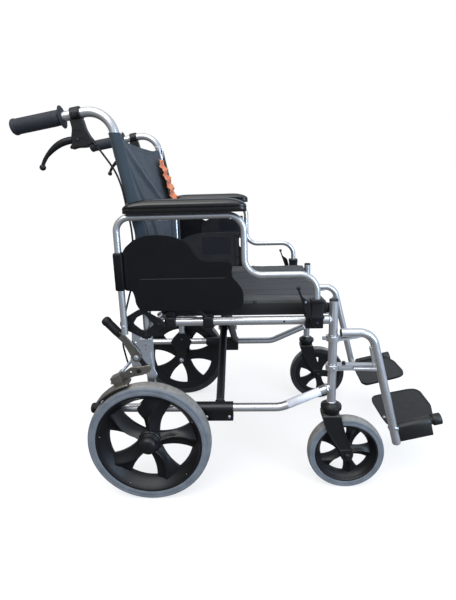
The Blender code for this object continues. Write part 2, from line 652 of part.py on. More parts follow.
def back_half(side):
    """A slab whose top edge sags away from the cane, leaning with it."""
    rise = Vector((BACK_TOP[0] - BACK_LOW[0], 0, BACK_TOP[1] - BACK_LOW[1]))
    lean = math.atan2(-rise.x, rise.z)
    width = BACK_REACH - BACK_START
    shares = [k / 6 for k in range(7)]
    top = [(BACK_START + width * t, rise.length - BACK_SAG * math.sin(math.pi / 2 * t)) for t in shares]
    outline = [(BACK_REACH, 0), (BACK_START, 0), *top]
    slab = rings_solid([[(x, y, z) for y, z in outline] for x in (-BACK_HALF_THICK, BACK_HALF_THICK)])
    place = Matrix.Translation((BACK_LOW[0], Y, BACK_LOW[1])) @ Matrix.Rotation(-lean, 4, "Y")
    piece("back_half", "slate_nylon", moved(slab, place), side, (BACK_LOW[0], Y, BACK_LOW[1]))


# Legrests


def legrest_hanger(side):
    ring_r = TUBE_R + 0.0009
    top_start = (POST_X + 0.020, 0.430)
    tube_path = bent(side_path([top_start, HANGER_ELBOW, HANGER_FOOT], Y), [0.040], 6)
    main = tube(tube_path, TUBE_R)
    solids = [main]
    cuts = []
    for low, high in ((0.410, 0.424), (0.333, 0.347)):
        collar = [(ring_r, low), (0.0165, low), (0.0165, high), (ring_r, high)]
        solids.append(turned(collar, (POST_X, Y, 0), (0, 0, 1), 14))
    upper_web = plate([(POST_X + 0.014, 0.411), (0.256, 0.424), (0.256, 0.440), (POST_X + 0.014, 0.434)],
                      Y - 0.006, Y + 0.006)
    lower_web = plate([(POST_X + 0.014, 0.334), (0.340, 0.328), (0.336, 0.346), (POST_X + 0.014, 0.354)],
                      Y - 0.006, Y + 0.006)
    inner = rod((0.3135, Y, 0.404), (0.3255, Y, 0.340), 0.006, 10)
    cuts.append(rod((POST_X, Y, 0.3), (POST_X, Y, 0.5), ring_r, 14))
    lug = rod((0.391, Y + 0.002, 0.1475), (0.391, -STEP_Y + 0.006, 0.1475), 0.008, 12)
    solid = combined([*solids, upper_web, lower_web, inner, lug], cuts)
    piece("legrest_hanger", "silver_paint", solid, side, (POST_X, Y, 0.38))


def step_frame():
    """Maps (along the hinge, inward, up) to world places for the right footplate."""
    place = Matrix.Translation((STEP_START[0], -STEP_Y, STEP_START[1]))
    return place @ Matrix.Rotation(-STEP_PITCH, 4, "Y")


def footplate(side):
    barrel = rod((0.002, 0, 0), (STEP_LENGTH, 0, 0), STEP_BARREL_R, 14)
    knob = rod((STEP_LENGTH - 0.001, 0, 0), (0.1235, 0, 0), 0.0150, 14)
    skirt = box((0.006, -0.0145, -0.036), (STEP_LENGTH - 0.006, -0.0095, 0.004))
    plan = [(-0.012, 0.022), (-0.016, 0.060), (-0.018, STEP_WIDTH - 0.02), (-0.010, STEP_WIDTH - 0.004)]
    plan += [(0.0, STEP_WIDTH), (0.100, STEP_WIDTH - 0.004), (0.118, STEP_WIDTH - 0.012)]
    plan += [(0.126, STEP_WIDTH - 0.03), (0.124, 0.060), (0.112, 0.020)]
    plan += [(STEP_LENGTH - 0.006, 0.0), (STEP_LENGTH - 0.006, -0.0145), (0.006, -0.0145), (0.006, 0.016)]
    deck = rings_solid([[(x, y, 0.003) for x, y in plan], [(x, y, 0.0135) for x, y in plan]])
    solid = moved(combined([deck, barrel, knob, skirt]), step_frame())
    piece("footplate", "black_plastic", solid, side, (STEP_START[0], -STEP_Y, STEP_START[1]))


def clear_scene():
    for old in list(bpy.data.objects):
        bpy.data.objects.remove(old)


def build():
    clear_scene()
    frame_parts = [side_frame, back_cane, handle_grip, brake_lever_housing, brake_lever, brake_cable]
    arm_parts = [armrest_tube, armrest_pad, side_guard, cane_bracket, armrest_socket, socket_release_lever]
    brake_parts = [brake_plate, parking_brake_lever, brake_arm]
    wheel_parts = [rear_tyre, rear_rim, rear_axle]
    caster_parts = [caster_housing, caster_fork, caster_tyre, caster_rim, caster_axle]
    inner_parts = [cross_tube, cross_link, seat_half, back_half, legrest_hanger, footplate]
    for builder in frame_parts + arm_parts + brake_parts + wheel_parts + caster_parts + inner_parts:
        each_side(builder)
    cross_pivot_bolt()


build()
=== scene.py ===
"""The looks of a folding transport wheelchair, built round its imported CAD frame.

Metres, +X forward, +Z up. The right side is built once and mirrored for the left, except where a piece
belongs to one side. The lengths below are the ones that the CAD model is made to.
"""

import math

import bmesh
import bpy
from mathutils import Matrix, Vector, noise


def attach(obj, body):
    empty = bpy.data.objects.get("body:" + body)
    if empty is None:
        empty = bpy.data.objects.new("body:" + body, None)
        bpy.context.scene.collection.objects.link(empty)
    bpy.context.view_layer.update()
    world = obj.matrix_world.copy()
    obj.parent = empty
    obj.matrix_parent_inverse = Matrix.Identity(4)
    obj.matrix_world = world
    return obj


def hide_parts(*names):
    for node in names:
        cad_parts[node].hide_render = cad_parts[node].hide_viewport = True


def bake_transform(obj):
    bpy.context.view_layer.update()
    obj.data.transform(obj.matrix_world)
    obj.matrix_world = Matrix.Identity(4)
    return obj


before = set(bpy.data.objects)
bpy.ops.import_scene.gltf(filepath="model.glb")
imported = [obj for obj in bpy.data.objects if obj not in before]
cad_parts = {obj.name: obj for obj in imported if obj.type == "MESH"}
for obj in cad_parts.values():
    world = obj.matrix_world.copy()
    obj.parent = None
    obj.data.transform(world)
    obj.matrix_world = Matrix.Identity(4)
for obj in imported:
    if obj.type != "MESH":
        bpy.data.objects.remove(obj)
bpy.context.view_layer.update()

# Dimensions shared with the CAD model
FRAME_HALF = 0.240
Y = -FRAME_HALF
TUBE_R = 0.011
ARM_TUBE_R = 0.008
POST_X, POST_TOP, POST_BOTTOM = 0.223, 0.514, 0.2418
UPPER_Z, UPPER_REAR_X = 0.465, -0.214
LOWER_Z, LOWER_REAR_X, LOWER_BEND_X, LOWER_JOIN_Z = 0.228, -0.402, 0.094, 0.286
WHEEL_X, WHEEL_R, WHEEL_Y, WHEEL_HALF_WIDTH = -0.2455, 0.159, 0.283, 0.0205
WHEEL_RIM_R = 0.1365
REAR_SPOKE_DEG, CASTER_SPOKE_DEG = 77, 69
CASTER_X, CASTER_R, CASTER_RIM_R, CASTER_HALF_WIDTH = 0.263, 0.100, 0.082, 0.0165
FORK_INNER, FORK_OUTER = 0.0185, 0.0235
CANE_X, CANE_BEND_Z = -0.241, 0.690
HANDLE_CORNER, HANDLE_REAR = (-0.2947, 0.9737), (-0.5155, 0.9381)
GRIP_LENGTH = 0.118
LEVER_PIVOT = (-0.368, 0.905)
ARM_Y = FRAME_HALF + 0.035
ARM_PIVOT = (-0.291, 0.467)
ARM_LEG_X = ARM_PIVOT[0] + 0.002
ARM_TOP_Z, ARM_LOW_Z, ARM_STEP_X, ARM_FOOT_X, ARM_FOOT_Z = 0.729, 0.588, 0.007, 0.176, 0.5162
BRACE_A_X, BRACE_B_X, BRACE_FRONT_X, BRACE_REAR_X = -0.066, -0.042, -0.031, -0.150
RAIL_HALF, RAIL_Z, RAIL_REAR_X, RAIL_FRONT_X = 0.225, 0.492, -0.192, 0.203
CROSS_Z = LOWER_Z + (RAIL_Z - LOWER_Z) * FRAME_HALF / (FRAME_HALF + RAIL_HALF)
LINK_X, LINK_TOP, LINK_LENGTH = -0.0805, (-0.2225, 0.443), 0.136
HANGER_ELBOW, HANGER_FOOT = (0.3195, 0.430), (0.396, 0.124)
STEP_PITCH = math.radians(13.5)
# the second height is where painted shade turns the seat's side near black
GUARD_CREASE_Z, SEAT_PAINTED_SHADE_Z = 0.58355, 0.5085
STEP_Y, STEP_START, STEP_LENGTH, STEP_WIDTH = FRAME_HALF - 0.030, (0.399, 0.1475), 0.100, 0.170
PARK_PIVOT, ARM_BRAKE_PIVOT = (-0.271, 0.378), (-0.267, 0.341)

SIDES = {"right": -1, "left": 1}


# Materials


class Nodes:
    """A material's node tree, with short calls for adding and joining nodes."""

    def __init__(self, name):
        self.material = bpy.data.materials.new(name)
        self.material.use_nodes = True
        self.tree = self.material.node_tree
        self.shader = self.tree.nodes["Principled BSDF"]
        self.place = self.add("ShaderNodeTexCoord").outputs["Object"]

    def add(self, kind, settings=None, **inputs):
        node = self.tree.nodes.new(kind)
        for key, value in (settings or {}).items():
            setattr(node, key, value)
        for key, value in inputs.items():
            self.feed(node.inputs[int(key[1:]) if key[0] == "i" and key[1:].isdigit() else key], value)
        return node

    def feed(self, socket, value):
        if isinstance(value, bpy.types.NodeSocket):
            self.tree.links.new(value, socket)
        else:
            socket.default_value = value

    def set(self, **inputs):
        for key, value in inputs.items():
            self.feed(self.shader.inputs[key.replace("_", " ")], value)

    def noise(self, scale, detail=3.0, rough=0.5, place=None):
        node = self.add("ShaderNodeTexNoise", Vector=place or self.place, Scale=scale, Detail=detail, Roughness=rough)
        return node.outputs["Fac"]

    def math(self, operation, a, b=0.0, clamp=False):
        return self.add("ShaderNodeMath", {"operation": operation, "use_clamp": clamp}, i0=a, i1=b).outputs[0]

    def spread(self, value, low, high, to_low, to_high):
        node = self.add("ShaderNodeMapRange", Value=value)
        for key, number in (("From Min", low), ("From Max", high), ("To Min", to_low), ("To Max", to_high)):
            self.feed(node.inputs[key], number)
        return node.outputs[0]

    def mix(self, share, a, b):
        node = self.add("ShaderNodeMix", {"data_type": "RGBA"}, i0=share)
        self.feed(node.inputs[6], a)
        self.feed(node.inputs[7], b)
        return node.outputs[2]

    def axes(self):
        return self.add("ShaderNodeSeparateXYZ", Vector=self.place).outputs

    def bump(self, height, strength, distance, under=None):
        node = self.add("ShaderNodeBump", Height=height, Strength=strength, Distance=distance)
        if under:
            self.feed(node.inputs["Normal"], under)
        return node.outputs[0]


def rgb(red, green, blue):
    return (red, green, blue, 1.0)


def shaded(colour, amount):
    return rgb(*(min(1.0, channel * amount) for channel in colour[:3]))


def moulded(name, colour, roughness, grain=900.0, depth=0.12, specular=0.22, dust=0.03, blotch=None):
    """Moulded plastic or rubber: a fine grain, uneven gloss and a little dust on what faces up; a large dust share also
    paints a highlight on upward faces.
    """
    n = Nodes(name)
    cloud = n.noise(22.0, 4.0)
    base = n.mix(n.spread(cloud, 0.3, 0.7, 0, 1), shaded(colour, 0.82), shaded(colour, 1.18))
    if blotch:
        base = n.mix(n.spread(n.noise(48.0, 3.0, 0.6), 0.48, 0.62, 0, 0.8), base, blotch)
    up = n.add("ShaderNodeSeparateXYZ", Vector=n.add("ShaderNodeNewGeometry").outputs["Normal"]).outputs[2]
    # dust on upward faces, and with a large share a painted highlight on top as well
    dust_and_top_highlight = n.math("MULTIPLY", n.spread(up, 0.35, 1.0, 0, dust), n.spread(n.noise(60.0, 5.0), 0.35, 0.65, 0.4, 1))
    n.set(Base_Color=n.mix(dust_and_top_highlight, base, rgb(0.30, 0.29, 0.27)))
    n.set(Roughness=n.spread(n.noise(90.0, 3.0), 0.3, 0.7, roughness - 0.03, roughness + 0.04))
    n.set(Specular_IOR_Level=specular)
    n.set(Normal=n.bump(n.noise(grain, 2.0), depth, 0.0002))
    return n.material


def plated(name, colour, roughness, metallic=1.0, flake=2600.0, depth=0.1, coat=0.0, stain=None):
    """Bare, plated or metallic-painted metal: a fine flake, faint streaks and stains."""
    n = Nodes(name)
    cloud = n.spread(n.noise(35.0, 5.0, 0.6), 0.35, 0.65, 0, 1)
    base = n.mix(cloud, shaded(colour, 0.96), shaded(colour, 1.03))
    if stain:
        patch = n.spread(n.noise(18.0, 6.0, 0.65), 0.52, 0.75, 0, 0.6)
        base = n.mix(patch, base, stain)
    n.set(Base_Color=base, Metallic=metallic, Coat_Weight=coat, Coat_Roughness=0.12)
    n.set(Roughness=n.spread(n.noise(90.0, 4.0), 0.3, 0.7, roughness - 0.03, roughness + 0.04))
    if depth:
        n.set(Normal=n.bump(n.noise(flake, 1.0), depth, 0.0001))
    return n.material


def tyre_with_painted_inner_shade(name, centre, tread_r, width_centre):
    """Solid rubber: bluish grey sidewalls outside, painted shade making the sidewalls that face into the chair near
    black, and a dusty brownish tread.
    """
    n = Nodes(name)
    x, y, z = n.axes()
    dx, dz = n.math("SUBTRACT", x, centre[0]), n.math("SUBTRACT", z, centre[1])
    radius = n.math("SQRT", n.math("ADD", n.math("MULTIPLY", dx, dx), n.math("MULTIPLY", dz, dz)))
    cloud = n.spread(n.noise(30.0, 5.0, 0.6), 0.35, 0.65, 0, 1)
    side = n.mix(cloud, rgb(0.118, 0.132, 0.150), rgb(0.165, 0.182, 0.203))
    # painted shade: the near-black colour given to the sidewall that faces into the chair
    inner = n.mix(cloud, rgb(0.010, 0.0105, 0.0115), rgb(0.022, 0.023, 0.025))
    across = n.math("SUBTRACT", n.math("ABSOLUTE", y), width_centre)
    wall = n.mix(n.spread(across, -0.006, -0.002, 0, 1), inner, side)
    dust = n.mix(n.spread(n.noise(55.0, 6.0, 0.65), 0.3, 0.7, 0, 1), rgb(0.155, 0.148, 0.136), rgb(0.290, 0.278, 0.250))
    n.set(Base_Color=n.mix(n.spread(radius, tread_r - 0.0035, tread_r - 0.001, 0, 1), wall, dust))
    n.set(Roughness=n.spread(n.noise(120.0, 3.0), 0.3, 0.7, 0.55, 0.72), Specular_IOR_Level=0.4)
    n.set(Normal=n.bump(n.noise(700.0, 3.0), 0.3, 0.0003))
    return n.material


def woven(name, dark, light, across, along, pitch, crease=0.15, painted_shade_below=None):
    """Plain-woven nylon: threads along two axes, with cloudy colour, a soft sheen and optional painted shade that makes
    the cloth near black below a given height.
    """
    n = Nodes(name)
    axes = n.axes()
    turns = math.tau / pitch
    warp = n.math("SINE", n.math("MULTIPLY", axes[across], turns))
    weft = n.math("SINE", n.math("MULTIPLY", axes[along], turns))
    weave = n.math("MULTIPLY", warp, weft)
    cloud = n.spread(n.noise(14.0, 5.0, 0.6), 0.32, 0.68, 0, 1)
    thread = n.spread(weave, -1, 1, 0.0, 0.35)
    tone = n.math("ADD", n.math("MULTIPLY", cloud, 0.65), thread, True)
    colour = n.mix(tone, dark, light)
    # painted shade: below this height the cloth is made near black
    if painted_shade_below:
        above = n.spread(axes[2], painted_shade_below - 0.0008, painted_shade_below + 0.0008, 0, 1)
        colour = n.mix(above, rgb(0.004, 0.004, 0.0045), colour)
    n.set(Base_Color=colour)
    n.set(Roughness=0.72, Sheen_Weight=0.15, Sheen_Roughness=0.45, Specular_IOR_Level=0.35)
    creases = n.bump(n.noise(26.0, 4.0, 0.55), crease, 0.004)
    n.set(Normal=n.bump(weave, 0.35, 0.0004, creases))
    return n.material


def insert_plastic(name):
    """The guard's insert: greyer moulded plastic, with painted shade making the recessed panel darker and bluish within
    a lighter frame.
    """
    n = Nodes(name)
    x, _, z = n.axes()
    edges = [(x, -0.092, -0.0905), (x, -0.0245, -0.026), (z, 0.637, 0.6385), (z, 0.679, 0.6775)]
    recess_shade_mask = 1.0
    for axis, low, high in edges:
        recess_shade_mask = n.math("MULTIPLY", n.spread(axis, low, high, 0, 1), recess_shade_mask, True)
    cloud = n.spread(n.noise(40.0, 4.0), 0.35, 0.65, 0, 1)
    frame_tone = n.mix(cloud, rgb(0.0070, 0.0072, 0.0080), rgb(0.0110, 0.0113, 0.0125))
    # painted shade: the recessed panel is coloured darker and bluish than the frame
    n.set(Base_Color=n.mix(recess_shade_mask, frame_tone, rgb(0.0030, 0.0042, 0.0068)))
    n.set(Roughness=n.spread(n.noise(140.0, 3.0), 0.3, 0.7, 0.33, 0.42), Specular_IOR_Level=0.35)
    n.set(Normal=n.bump(n.noise(1100.0, 2.0), 0.12, 0.0002))
    return n.material


def creased_plastic(name):
    """The guard's moulded plastic, with a painted highlight: a paler line along the crease across it."""
    n = Nodes(name)
    x, _, z = n.axes()
    # painted highlight: a thin pale line along the crease
    line = n.math("MULTIPLY", n.spread(n.math("ABSOLUTE", n.math("SUBTRACT", z, GUARD_CREASE_Z)), 0.0007, 0.0013, 1, 0),
                  n.spread(x, -0.036, -0.044, 0, 1), True)
    line = n.math("MULTIPLY", line, n.spread(x, -0.246, -0.238, 0, 1), True)
    cloud = n.spread(n.noise(22.0, 4.0), 0.3, 0.7, 0, 1)
    base = n.mix(cloud, rgb(0.0032, 0.0034, 0.0040), rgb(0.0046, 0.0048, 0.0056))
    n.set(Base_Color=n.mix(line, base, rgb(0.045, 0.047, 0.050)))
    n.set(Roughness=n.spread(n.noise(90.0, 3.0), 0.3, 0.7, 0.37, 0.44), Specular_IOR_Level=0.20)
    n.set(Normal=n.bump(n.noise(1100.0, 2.0), 0.12, 0.0002))
    return n.material


def make_materials():
    made = {
        "silver_paint": plated("silver_paint_look", rgb(0.60, 0.605, 0.61), 0.30, 0.86, depth=0, coat=0.2),
        "zinc_steel": plated("zinc_steel_look", rgb(0.66, 0.70, 0.76), 0.34, 1.0, 600.0, 0.04,
                             stain=rgb(0.40, 0.39, 0.35)),
        "black_paint": moulded("black_paint_look", rgb(0.0060, 0.0060, 0.0064), 0.32, 500.0, 0.05, 0.40),
        "black_plastic": moulded("black_plastic_look", rgb(0.0052, 0.0055, 0.0064), 0.38, specular=0.34),
        "guard_plastic": creased_plastic("guard_plastic_look"),
        "insert_plastic": insert_plastic("insert_plastic_look"),
        # the fork's large dust share makes its upward faces paler: dust and a painted highlight
        "fork_plastic": moulded("fork_plastic_look", rgb(0.0075, 0.0075, 0.0080), 0.40, specular=0.32, dust=0.35),
        "step_plastic": moulded("step_plastic_look", rgb(0.010, 0.010, 0.009), 0.38, 900.0, 0.12, 0.34),
        "grip_rubber": moulded("grip_rubber_look", rgb(0.026, 0.028, 0.034), 0.60, 800.0, 0.2, 0.3),
        "black_rubber": moulded("black_rubber_look", rgb(0.0060, 0.0060, 0.0064), 0.52, 800.0, 0.2, 0.25),
        "black_vinyl": moulded("black_vinyl_look", rgb(0.0042, 0.0041, 0.0041), 0.20, 60.0, 0.04, 0.50, 0.0),
        "rear_tyre": tyre_with_painted_inner_shade("rear_tyre_look", (WHEEL_X, WHEEL_R), WHEEL_R, WHEEL_Y),
        "caster_tyre": tyre_with_painted_inner_shade("caster_tyre_look", (CASTER_X, CASTER_R), CASTER_R, FRAME_HALF),
        "back_nylon": woven("back_nylon_look", rgb(0.019, 0.031, 0.041), rgb(0.036, 0.053, 0.068), 1, 2, 0.0016),
        "seat_nylon": woven("seat_nylon_look", rgb(0.022, 0.024, 0.022), rgb(0.042, 0.045, 0.040), 0, 1, 0.0016,
                            painted_shade_below=SEAT_PAINTED_SHADE_Z),
        "brake_bronze": plated("brake_bronze_look", rgb(0.20, 0.185, 0.160), 0.38, 0.85, 600.0, 0.05,
                               stain=rgb(0.08, 0.075, 0.07)),
        "orange_card": moulded("orange_card_look", rgb(0.84, 0.215, 0.065), 0.5, 300.0, 0.15, 0.4, 0.0,
                               rgb(0.90, 0.36, 0.19)),
        "white_string": moulded("white_string_look", rgb(0.75, 0.75, 0.75), 0.6, 2500.0, 0.5, 0.3, 0.0),
        "pale_label": moulded("pale_label_look", rgb(0.70, 0.71, 0.75), 0.32, 200.0, 0.05, 0.5, 0.0),
    }
    return made


LOOKS = make_materials()


# Solids: each function returns a bmesh in world coordinates


def facing_out(bm):
    bmesh.ops.recalc_face_normals(bm, faces=bm.faces)
    return bm


def rings_solid(rings, closed=False):
    """A closed solid through rings of points, capped at both ends or joined end to end."""
    bm = bmesh.new()
    loops = [[bm.verts.new(point) for point in ring] for ring in rings]
    count = len(loops[0])
    pairs = list(zip(loops, loops[1:]))
    if closed:
        pairs.append((loops[-1], loops[0]))
    for low, high in pairs:
        for i in range(count):
            j = (i + 1) % count
            bm.faces.new((low[i], low[j], high[j], high[i]))
    if not closed:
        bm.faces.new(loops[0])
        bm.faces.new(loops[-1])
    return facing_out(bm)


def frame_of(axis):
    """The axis's direction and two directions across it; the first points up where it can."""
    ahead = Vector(axis).normalized()
    guide = Vector((0, 0, 1)) if abs(ahead.z) < 0.9 else Vector((1, 0, 0))
    up = (guide - ahead * guide.dot(ahead)).normalized()
    return ahead, up, ahead.cross(up)


def tube(points, radius, sides=20, flat=1.0):
    """A round bar along a path; flat below 1 makes it thinner across than in its own plane."""
    path = [Vector(point) for point in points]
    along = [(path[min(i + 1, len(path) - 1)] - path[max(i - 1, 0)]).normalized() for i in range(len(path))]
    across = frame_of(along[0])[1]
    rings = []
    for i, (point, direction) in enumerate(zip(path, along)):
        if i:
            across = along[i - 1].rotation_difference(direction) @ across
        other = direction.cross(across)
        width = radius[i] if isinstance(radius, (list, tuple)) else radius
        turns = [math.tau * (k + 0.5) / sides for k in range(sides)]
        rings.append([point + width * (across * math.cos(a) + other * flat * math.sin(a)) for a in turns])
    return rings_solid(rings)


def turned(profile, start, direction, steps=32, lobes=None):
    """A solid of revolution; profile lists (radius, distance along), from axis to axis or round a closed loop."""
    axis, up, across = frame_of(direction)
    bm = bmesh.new()
    closed = profile[0][0] > 0
    count = len(profile)
    poles = {i: bm.verts.new(Vector(start) + axis * h) for i, (r, h) in enumerate(profile) if r == 0}
    grid = []
    for k in range(steps):
        angle = math.tau * k / steps
        out = up * math.cos(angle) + across * math.sin(angle)
        row = []
        for i, (r, h) in enumerate(profile):
            grown = r * (lobes(angle, i) if lobes else 1.0)
            row.append(poles[i] if r == 0 else bm.verts.new(Vector(start) + axis * h + out * grown))
        grid.append(row)
    for k in range(steps):
        here, there = grid[k], grid[(k + 1) % steps]
        for i in range(count if closed else count - 1):
            j = (i + 1) % count
            bm.faces.new(list(dict.fromkeys([here[i], here[j], there[j], there[i]])))
    return facing_out(bm)


def rod(start, end, radius, sides=24, edge=0.0006):
    """A round bar with small chamfers at its ends."""
    span = Vector(end) - Vector(start)
    length = span.length
    edge = min(edge, radius / 3, length / 3)
    profile = [(0, 0), (radius - edge, 0), (radius, edge)]
    profile += [(r, length - h) for r, h in reversed(profile)]
    return turned(profile, start, span, sides)


def bolt_head(start, direction, radius, height, sides=6):
    """A hexagon head with a turned washer face under it."""
    rim = radius * 1.25
    washer = turned([(0, 0), (rim, 0), (rim, height * 0.25), (0, height * 0.25)], start, direction, 24)
    head = turned([(0, 0), (radius, 0), (radius, height * 0.85), (radius * 0.85, height), (0, height)],
                  start, direction, sides)
    return [washer, head]


def screw_head(start, direction, radius, height):
    """A domed head with a cross recess."""
    profile = [(0, 0), (radius, 0), (radius, height * 0.35), (radius * 0.8, height * 0.8), (radius * 0.4, height)]
    dome = turned([*profile, (0, height)], start, direction, 20)
    axis, up, across = frame_of(direction)
    middle = Vector(start) + axis * height
    arms = []
    for arm, other in ((up, across), (across, up)):
        bar = box((-radius * 0.6, -radius * 0.13, -height * 0.45), (radius * 0.6, radius * 0.13, height))
        turn = Matrix((arm, other, arm.cross(other))).transposed().to_4x4()
        arms.append(moved(bar, Matrix.Translation(middle) @ turn))
    return combined([dome], arms)


def weld(centre, direction, radius, bead=0.0022):
    """A rippled weld bead round a tube."""
    ring = [(radius + bead * math.cos(a), bead * math.sin(a)) for a in [math.tau * k / 8 for k in range(8)]]

    def ripple(angle, _):
        return 1.0 + 0.035 * math.sin(angle * 17) + 0.015 * math.sin(angle * 5 + 1)

    return turned(ring, centre, direction, 60, ripple)


def bent(corners, radii, steps=10):
    """Points of a path whose inner corners are rounded to the given radii."""
    path = [Vector(corner) for corner in corners]
    points = [path[0]]
    for before, corner, after, radius in zip(path, path[1:], path[2:], radii):
        back, ahead = (before - corner).normalized(), (after - corner).normalized()
        half = back.angle(ahead) / 2
        centre = corner + (back + ahead).normalized() * radius / math.sin(half)
        start = corner + back * radius / math.tan(half) - centre
        turn = math.pi - 2 * half
        axis = start.cross(corner + ahead * radius / math.tan(half) - centre).normalized()
        for k in range(steps + 1):
            points.append(centre + Matrix.Rotation(turn * k / steps, 3, axis) @ start)
    points.append(path[-1])
    return points


def smooth_route(points, spacing):
    """Points about a spacing apart on a smooth curve through the given points."""
    path = [Vector(point) for point in points]
    padded = [2 * path[0] - path[1], *path, 2 * path[-1] - path[-2]]
    route = []
    for a, b, c, d in zip(padded, padded[1:], padded[2:], padded[3:]):
        steps = max(1, round((c - b).length / spacing))
        for k in range(steps):
            t = k / steps
            route.append(0.5 * (2 * b + (c - a) * t + (2 * a - 5 * b + 4 * c - d) * t**2
                                + (3 * b - a - 3 * c + d) * t**3))
    route.append(path[-1])
    return route


def side_path(pairs, y):
    return [(x, y, z) for x, z in pairs]


def at_y(pair, y):
    return (pair[0], y, pair[1])


def box(low, high):
    bm = bmesh.new()
    size = [b - a for a, b in zip(low, high)]
    middle = [(a + b) / 2 for a, b in zip(low, high)]
    bmesh.ops.create_cube(bm, size=1.0, matrix=Matrix.Translation(middle) @ Matrix.Diagonal((*size, 1.0)))
    return bm


def block(low, high, edge=0.001, segments=2):
    """A box with rounded edges."""
    bm = box(low, high)
    bmesh.ops.bevel(bm, geom=bm.edges, offset=edge, segments=segments, profile=0.5, affect="EDGES")
    return bm


def arc(centre, radius, start_deg, end_deg, steps):
    """Points (x, z) on an arc, counter-clockwise from +X towards +Z."""
    angles = [math.radians(start_deg + (end_deg - start_deg) * k / steps) for k in range(steps + 1)]
    return [(centre[0] + radius * math.cos(a), centre[1] + radius * math.sin(a)) for a in angles]


def eased(outline, reach, steps=4):
    """A closed outline with its corners rounded, each over at most the given reach."""
    points = []
    for i, here in enumerate(outline):
        before, corner, after = Vector(outline[i - 1]), Vector(here), Vector(outline[(i + 1) % len(outline)])
        back, ahead = before - corner, after - corner
        start = corner + back.normalized() * min(reach, back.length * 0.45)
        end = corner + ahead.normalized() * min(reach, ahead.length * 0.45)
        for k in range(steps + 1):
            t = k / steps
            points.append(tuple((1 - t) ** 2 * start + 2 * t * (1 - t) * corner + t * t * end))
    return points


def shrunk(outline, inset):
    """The closed outline moved inwards."""
    count = len(outline)
    area = sum(outline[i - 1][0] * outline[i][1] - outline[i][0] * outline[i - 1][1] for i in range(count))
    turn = 1 if area > 0 else -1
    points = []
    for i in range(count):
        before, here, after = Vector(outline[i - 1]), Vector(outline[i]), Vector(outline[(i + 1) % count])
        along = ((after - here).normalized() + (here - before).normalized()).normalized()
        points.append((here.x - along.y * inset * turn, here.y + along.x * inset * turn))
    return points


def slab(outline, low, high, edge=0.0006):
    """Rings of an upright plate with chamfered edges, as (u, v, height)."""
    inner = shrunk(outline, edge)
    levels = ((inner, low), (outline, low + edge), (outline, high - edge), (inner, high))
    return [[(u, v, h) for u, v in loop] for loop, h in levels]


def plate(outline, y_low, y_high, edge=0.0006):
    """A flat plate standing along the chair: outline is a list of (x, z)."""
    return rings_solid([[(u, h, v) for u, v, h in ring] for ring in slab(outline, y_low, y_high, edge)])


def moved(bm, matrix):
    bmesh.ops.transform(bm, matrix=matrix, verts=bm.verts)
    return bm


# Objects


def as_object(name, bm):
    mesh = bpy.data.meshes.new(name)
    bm.to_mesh(mesh)
    bm.free()
    made = bpy.data.objects.new(name, mesh)
    bpy.context.scene.collection.objects.link(made)
    return made


def joined(solids):
    """One mesh of separate shells."""
    whole = bmesh.new()
    for solid in solids:
        mesh = bpy.data.meshes.new("shell")
        solid.to_mesh(mesh)
        solid.free()
        whole.from_mesh(mesh)
        bpy.data.meshes.remove(mesh)
    return whole


def combined(pieces, cuts=()):
    """One mesh of the pieces joined and the cuts taken away."""
    base = as_object("base", pieces[0])
    helpers = []
    for operation, solids in (("UNION", pieces[1:]), ("DIFFERENCE", cuts)):
        for solid in solids:
            helper = as_object("helper", solid)
            helpers.append(helper)
            step = base.modifiers.new(operation, "BOOLEAN")
            step.operation = operation
            step.object = helper
    bpy.context.view_layer.update()
    result = bmesh.new()
    result.from_object(base, bpy.context.evaluated_depsgraph_get())
    for used in [base, *helpers]:
        bpy.data.objects.remove(used)
    return result


def mirrored(bm):
    bmesh.ops.scale(bm, vec=(1, -1, 1), verts=bm.verts)
    bmesh.ops.reverse_faces(bm, faces=bm.faces)
    return bm


def finished(name, look, bm, smooth_deg):
    made = as_object(name, bm)
    made.data.shade_smooth()
    made.data.set_sharp_from_angle(angle=math.radians(smooth_deg))
    made.data.materials.append(LOOKS[look])
    return made


CROSS_BODIES = {"right": "cross_a", "left": "cross_b"}


def sided(name, look, solid, body, node="", smooth_deg=34, sides=("right", "left")):
    """Adds the right piece and its mirror image, which ride on the body of their side."""
    made = {}
    for side in sides:
        bm = solid.copy()
        if side == "left":
            mirrored(bm)
        made[side] = finished(f"{name}_{side}", look, bm, smooth_deg)
        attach(made[side], CROSS_BODIES[side] if body == "cross" else f"{body}_{side}")
        if node:
            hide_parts(f"{node}_{side}")
    solid.free()
    return made


# Frame


def frame_tubing():
    lower_corners = side_path([(LOWER_REAR_X, LOWER_Z), (LOWER_BEND_X, LOWER_Z), (POST_X, LOWER_JOIN_Z)], Y)
    solids = [
        rod((POST_X, Y, POST_BOTTOM), (POST_X, Y, POST_TOP), TUBE_R, 28, 0.0012),
        rod((UPPER_REAR_X, Y, UPPER_Z), (POST_X - 0.002, Y, UPPER_Z), TUBE_R, 28),
        tube(bent(lower_corners, [0.08], 8), TUBE_R, 28),
        weld((POST_X - TUBE_R * 0.9, Y, UPPER_Z), (1, 0, 0), TUBE_R * 0.98),
        weld((POST_X - 0.0115, Y, LOWER_JOIN_Z - 0.005), (0.91, 0, 0.41), TUBE_R * 0.98),
        rod((POST_X, Y, POST_BOTTOM), (POST_X, Y, POST_BOTTOM + 0.004), TUBE_R + 0.0014, 28),
    ]
    sided("frame_tubing", "silver_paint", combined(solids), "frame", "side_frame")


